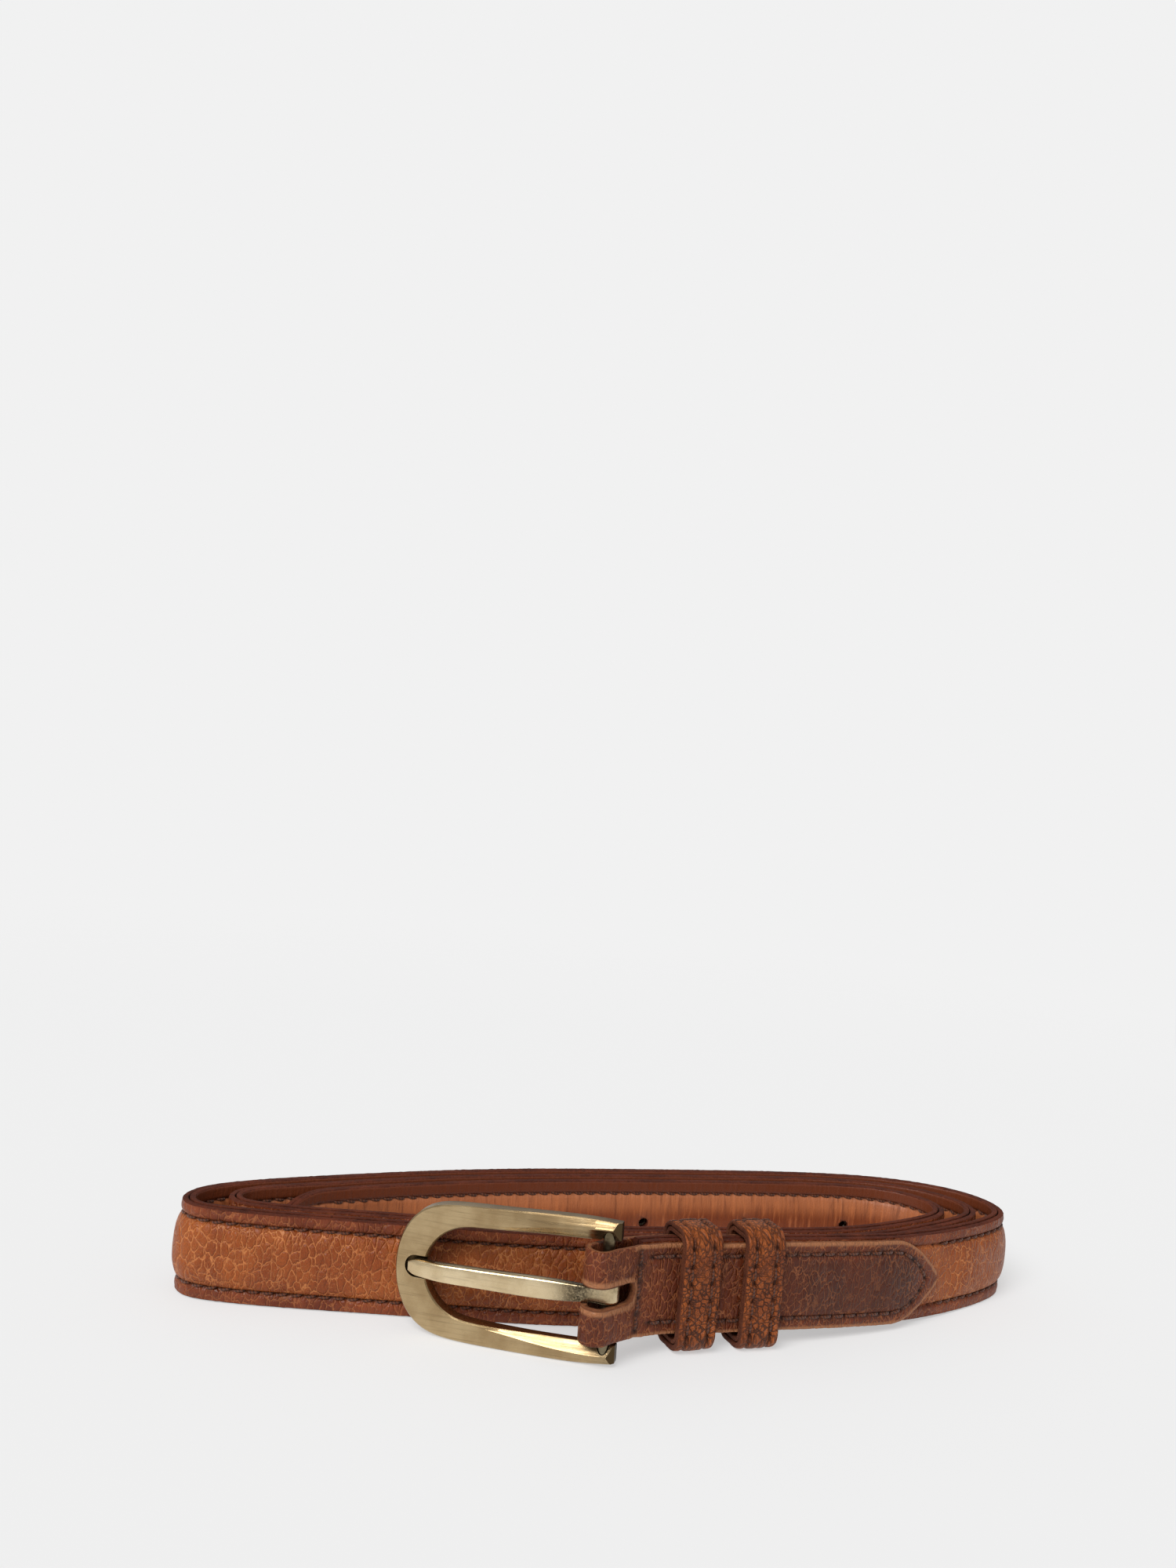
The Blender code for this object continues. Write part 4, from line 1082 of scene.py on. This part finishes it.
def frame_section(u, width):
    """(distance from the outer edge, n, darkness) round the frame's section at u; darkness is
    patina and painted shade.
    """
    facet = float(smooth((31 - u) / 22))
    ridge = (0.90 - 0.50 * float(smooth((34 - u) / 36))) * width
    front, back = FRAME_HALF_DEPTH, -FRAME_HALF_DEPTH
    top_out, top_in = front - OUTER_FACET_FALL * facet, front - INNER_FACET_FALL * facet
    outer_facet = [(FRONT_ROUND + share * (ridge - FRONT_ROUND),
                    top_out + share * (front - top_out), 0.0) for share in (0.33, 0.66)]
    inner_facet = [(ridge + share * (width - FRONT_ROUND - ridge),
                    front + share * (top_in - front), 0.35 * facet) for share in (0.33, 0.66)]
    # Darkness: painted shade on the faces turned from the light (the back, the inner wall and the
    # inner facet), with patina in the hollows
    return [
        (BACK_ROUND, back, 0.6), (0.0, back + BACK_ROUND, 0.5), (0.0, 0.0, 0.15),
        (0.0, top_out - FRONT_ROUND, 0.0), (FRONT_ROUND, top_out, 0.0), *outer_facet,
        (ridge - RIDGE_HALF_WIDTH, front - 0.02, 0.0),
        (ridge + RIDGE_HALF_WIDTH, front - 0.02, 0.05), *inner_facet,
        (width - FRONT_ROUND, top_in, 0.3 * facet), (width, top_in - FRONT_ROUND, 0.35),
        (width, 0.0, 0.75), (width, back + BACK_ROUND, 0.9), (width - BACK_ROUND, back, 0.9),
        (width * 0.66, back, 0.6), (width * 0.33, back, 0.6)]


def make_frame():
    pairs = [(*outer, *inner) for outer, inner in zip(OUTER_OUTLINE, INNER_OUTLINE)]
    mirrored = [(a, -b, c, -d) for a, b, c, d in reversed(pairs[:-1])]
    rings, places, shades = [], [], []
    for uo, vo, ui, vi in spline(pairs + mirrored, FRAME_STEP):
        outer, inner = np.array([uo, vo]), np.array([ui, vi])
        width = np.linalg.norm(inner - outer)
        direction = (inner - outer) / width
        ring, place, shade = [], [], []
        for distance, n, dark in frame_section(uo, width):
            u, v = outer + distance * direction
            ring.append((u, n + bow_at(u), v))
            place.append((u, n, v))
            # Patina and painted shade: darker towards the arm ends by the bar
            end = float(smooth((2.5 - u) / 4.0))
            shade.append(min(1.0, dark + 0.35 * end))
        rings.append(ring)
        places.append(place)
        shades.append(shade)
    frame_piece = skin("frame_casting", on_buckle(rings), [BRASS, SHADED_BRASS_END],
                       attributes={"place": np.array(places) * MM, "shade": shades},
                       cap=1, sharp=24)
    bend = [(40.5 + NOTCH_HALF_WIDTH * math.cos(t), NOTCH_HALF_WIDTH * math.sin(t))
            for t in np.radians(np.linspace(90, -90, 13))]
    notch_outline = [(33.0, NOTCH_HALF_WIDTH), *bend, (33.0, -NOTCH_HALF_WIDTH)]
    notch = cutter("notch", *([(u, n, v) for u, v in notch_outline] for n in (NOTCH_FLOOR, 6.0)))
    bore = cutter("bore", *(pin_ring(BAR_HOLE_RADIUS, v) for v in (-BAR_HOLE_TOP, BAR_HOLE_TOP)))
    bevel = cutter("bevel", *([(u, n, v) for u, n in END_BEVEL] for v in (-16.0, 16.0)))
    cut(frame_piece, [notch, bore, bevel])
    frame_piece.data.set_sharp_from_angle(angle=math.radians(24))
    hand_in(frame_piece, "antique_brass", "buckle_frame")


def make_bar():
    end, last = BAR_HALF_LENGTH, BAR_HALF_LENGTH - 0.25
    rings = [pin_ring(BAR_RADIUS, v) for v in (-end, -last, 0.0, last, end)]
    bar = skin("bar_pin", on_buckle(rings), [STEEL], attributes={"place": np.array(rings) * MM})
    hand_in(bar, "bar_steel", "buckle_bar")


def make_prong():
    rings, shades, outline = [], [], []
    for sign_a, sign_b, first in ((1, 1, 0), (-1, 1, 90), (-1, -1, 180), (1, -1, 270)):
        for turn in np.radians(first + np.array([8, 45, 82])):
            outline.append((sign_a * 0.62 + 0.38 * math.cos(turn),
                            sign_b * 0.72 + 0.28 * math.sin(turn)))

    def section(centre, across, half_thickness, half_height, dark):
        ring = []
        for a, b in outline:
            u, n = centre + a * half_thickness * across
            ring.append((u, n, b * half_height))
        rings.append(ring)
        # Painted shade: darker on the side of each section facing back, where a < 0
        shades.append([dark + (0.35 if a < 0 else 0.0) for a, _ in outline])

    for turn in np.radians(np.arange(-40, -271, -8)):
        across = np.array([math.cos(turn), math.sin(turn)])
        # Painted shade over the ring, which sits in the slot
        section(PRONG_RING_RADIUS * across, across, PRONG_RING_HALF_THICKNESS,
                PRONG_RING_HALF_HEIGHT, 0.25)
    shank = spline(PRONG_SHANK, PRONG_STEP)
    directions = np.gradient(shank[:, :2], axis=0)
    for (u, n, half_thickness, half_height), (du, dn) in zip(shank, directions):
        across = np.array([-dn, du]) / math.hypot(du, dn)
        dark = 0.95 * float(np.exp(-((u - 5.2) / 4.2) ** 2))
        section(np.array([u, n]), across, half_thickness, half_height, dark)
    prong = skin("prong_bar", on_buckle(rings), [LIT_PRONG_BRASS], attributes={
        "place": np.array(rings) * MM, "shade": np.clip(shades, 0, 1)}, sharp=50)
    hand_in(prong, "antique_brass", "buckle_prong")


# ---------------------------------------------------------------- stage, light and camera

AMBIENT = 0.42
BACKDROP_TONE = 0.88
FLOOR_TONE = 0.42
FLOOR_GLOW = 0.465
FLOOR_RADIUS = 1100.0
FLOOR_SIDES = 96
KEY_FROM = (-0.66, -0.74, 0.98)
KEY_STRENGTH = 2.4
KEY_WIDTH = math.radians(34)


def make_stage():
    """A pale floor that fades out, under even light with one broad key light."""
    world = bpy.data.worlds.new("studio")
    world.use_nodes = True
    background = world.node_tree.nodes["Background"]
    background.inputs["Color"].default_value = (AMBIENT, AMBIENT, AMBIENT, 1.0)
    background.inputs["Strength"].default_value = 1.0
    bpy.context.scene.world = world

    turns = np.arange(FLOOR_SIDES) * math.tau / FLOOR_SIDES
    radii = np.linspace(0.0, 1.0, 12)[1:] ** 1.5 * FLOOR_RADIUS
    verts = [(0.0, 0.0, 0.0)]
    verts += [(radius * math.cos(t), radius * math.sin(t), 0.0) for radius in radii for t in turns]
    faces = [(0, 1 + k, 1 + (k + 1) % FLOOR_SIDES) for k in range(FLOOR_SIDES)]
    for first in range(1, len(verts) - FLOOR_SIDES, FLOOR_SIDES):
        for k in range(FLOOR_SIDES):
            a, b = first + k, first + (k + 1) % FLOOR_SIDES
            faces.append((a, a + FLOOR_SIDES, b + FLOOR_SIDES, b))
    n = Nodes("floor")
    where = n.add("ShaderNodeTexCoord", {}).outputs["Object"]
    distance = n.add("ShaderNodeVectorMath", {0: where}, operation="LENGTH").outputs["Value"]
    fade = n.ramp(distance, 0.28, 0.75)
    n.set(Base_Color=(FLOOR_TONE,) * 3, Roughness=1.0, Specular_IOR_Level=0.0,
          Emission_Color=(1.0, 1.0, 1.0), Emission_Strength=FLOOR_GLOW)
    clear = n.tree.nodes.new("ShaderNodeBsdfTransparent")
    mixed = n.add("ShaderNodeMixShader", {0: fade, 1: n.shader.outputs[0], 2: clear.outputs[0]})
    output = n.tree.nodes["Material Output"]
    n.tree.links.new(mixed.outputs[0], output.inputs["Surface"])
    floor = build_mesh("floor", verts, faces, [n.material])
    floor.data.flip_normals()

    make_backdrop()
    light = bpy.data.lights.new("key", "SUN")
    light.energy = KEY_STRENGTH
    light.angle = KEY_WIDTH
    lamp = bpy.data.objects.new("key", light)
    lamp.location = KEY_FROM
    lamp.rotation_mode = "QUATERNION"
    lamp.rotation_quaternion = (-Vector(KEY_FROM)).to_track_quat("-Z", "Y")
    bpy.context.scene.collection.objects.link(lamp)


def make_backdrop():
    """A pale dome that the camera sees and that lights nothing."""
    shell = bmesh.new()
    bmesh.ops.create_uvsphere(shell, u_segments=48, v_segments=24, radius=4.0)
    mesh = bpy.data.meshes.new("backdrop")
    shell.to_mesh(mesh)
    shell.free()
    dome = bpy.data.objects.new("backdrop", mesh)
    n = Nodes("backdrop")
    n.set(Base_Color=(0.0, 0.0, 0.0), Specular_IOR_Level=0.0, Emission_Color=(1.0, 1.0, 1.0),
          Emission_Strength=BACKDROP_TONE)
    mesh.materials.append(n.material)
    for ray in ("diffuse", "glossy", "transmission", "shadow", "volume_scatter"):
        setattr(dome, f"visible_{ray}", False)
    bpy.context.scene.collection.objects.link(dome)


def make_camera():
    data = bpy.data.cameras.new("camera")
    data.sensor_width = 36.0
    data.lens = 31.14
    data.clip_start = 0.01
    data.clip_end = 20.0
    camera = bpy.data.objects.new("camera", data)
    bpy.context.scene.collection.objects.link(camera)
    turn = (Matrix.Rotation(math.radians(-13.9), 4, "Z")
            @ Matrix.Rotation(math.radians(89.70), 4, "X")
            @ Matrix.Rotation(math.radians(5.38), 4, "Z"))
    camera.matrix_world = Matrix.Translation((-0.0934, -0.2961, 0.1186)) @ turn
    bpy.context.scene.camera = camera
    bpy.context.scene.view_settings.view_transform = "Standard"
    bpy.context.scene.view_settings.look = "None"


make_camera()
make_stage()
make_strap()
make_chape()
make_chape_stitches()
for keeper_number, (keeper_name, keeper_centre) in enumerate(KEEPER_CENTRES.items()):
    make_keeper(keeper_name, keeper_centre, 11.0 * keeper_number)
make_frame()
make_bar()
make_prong()
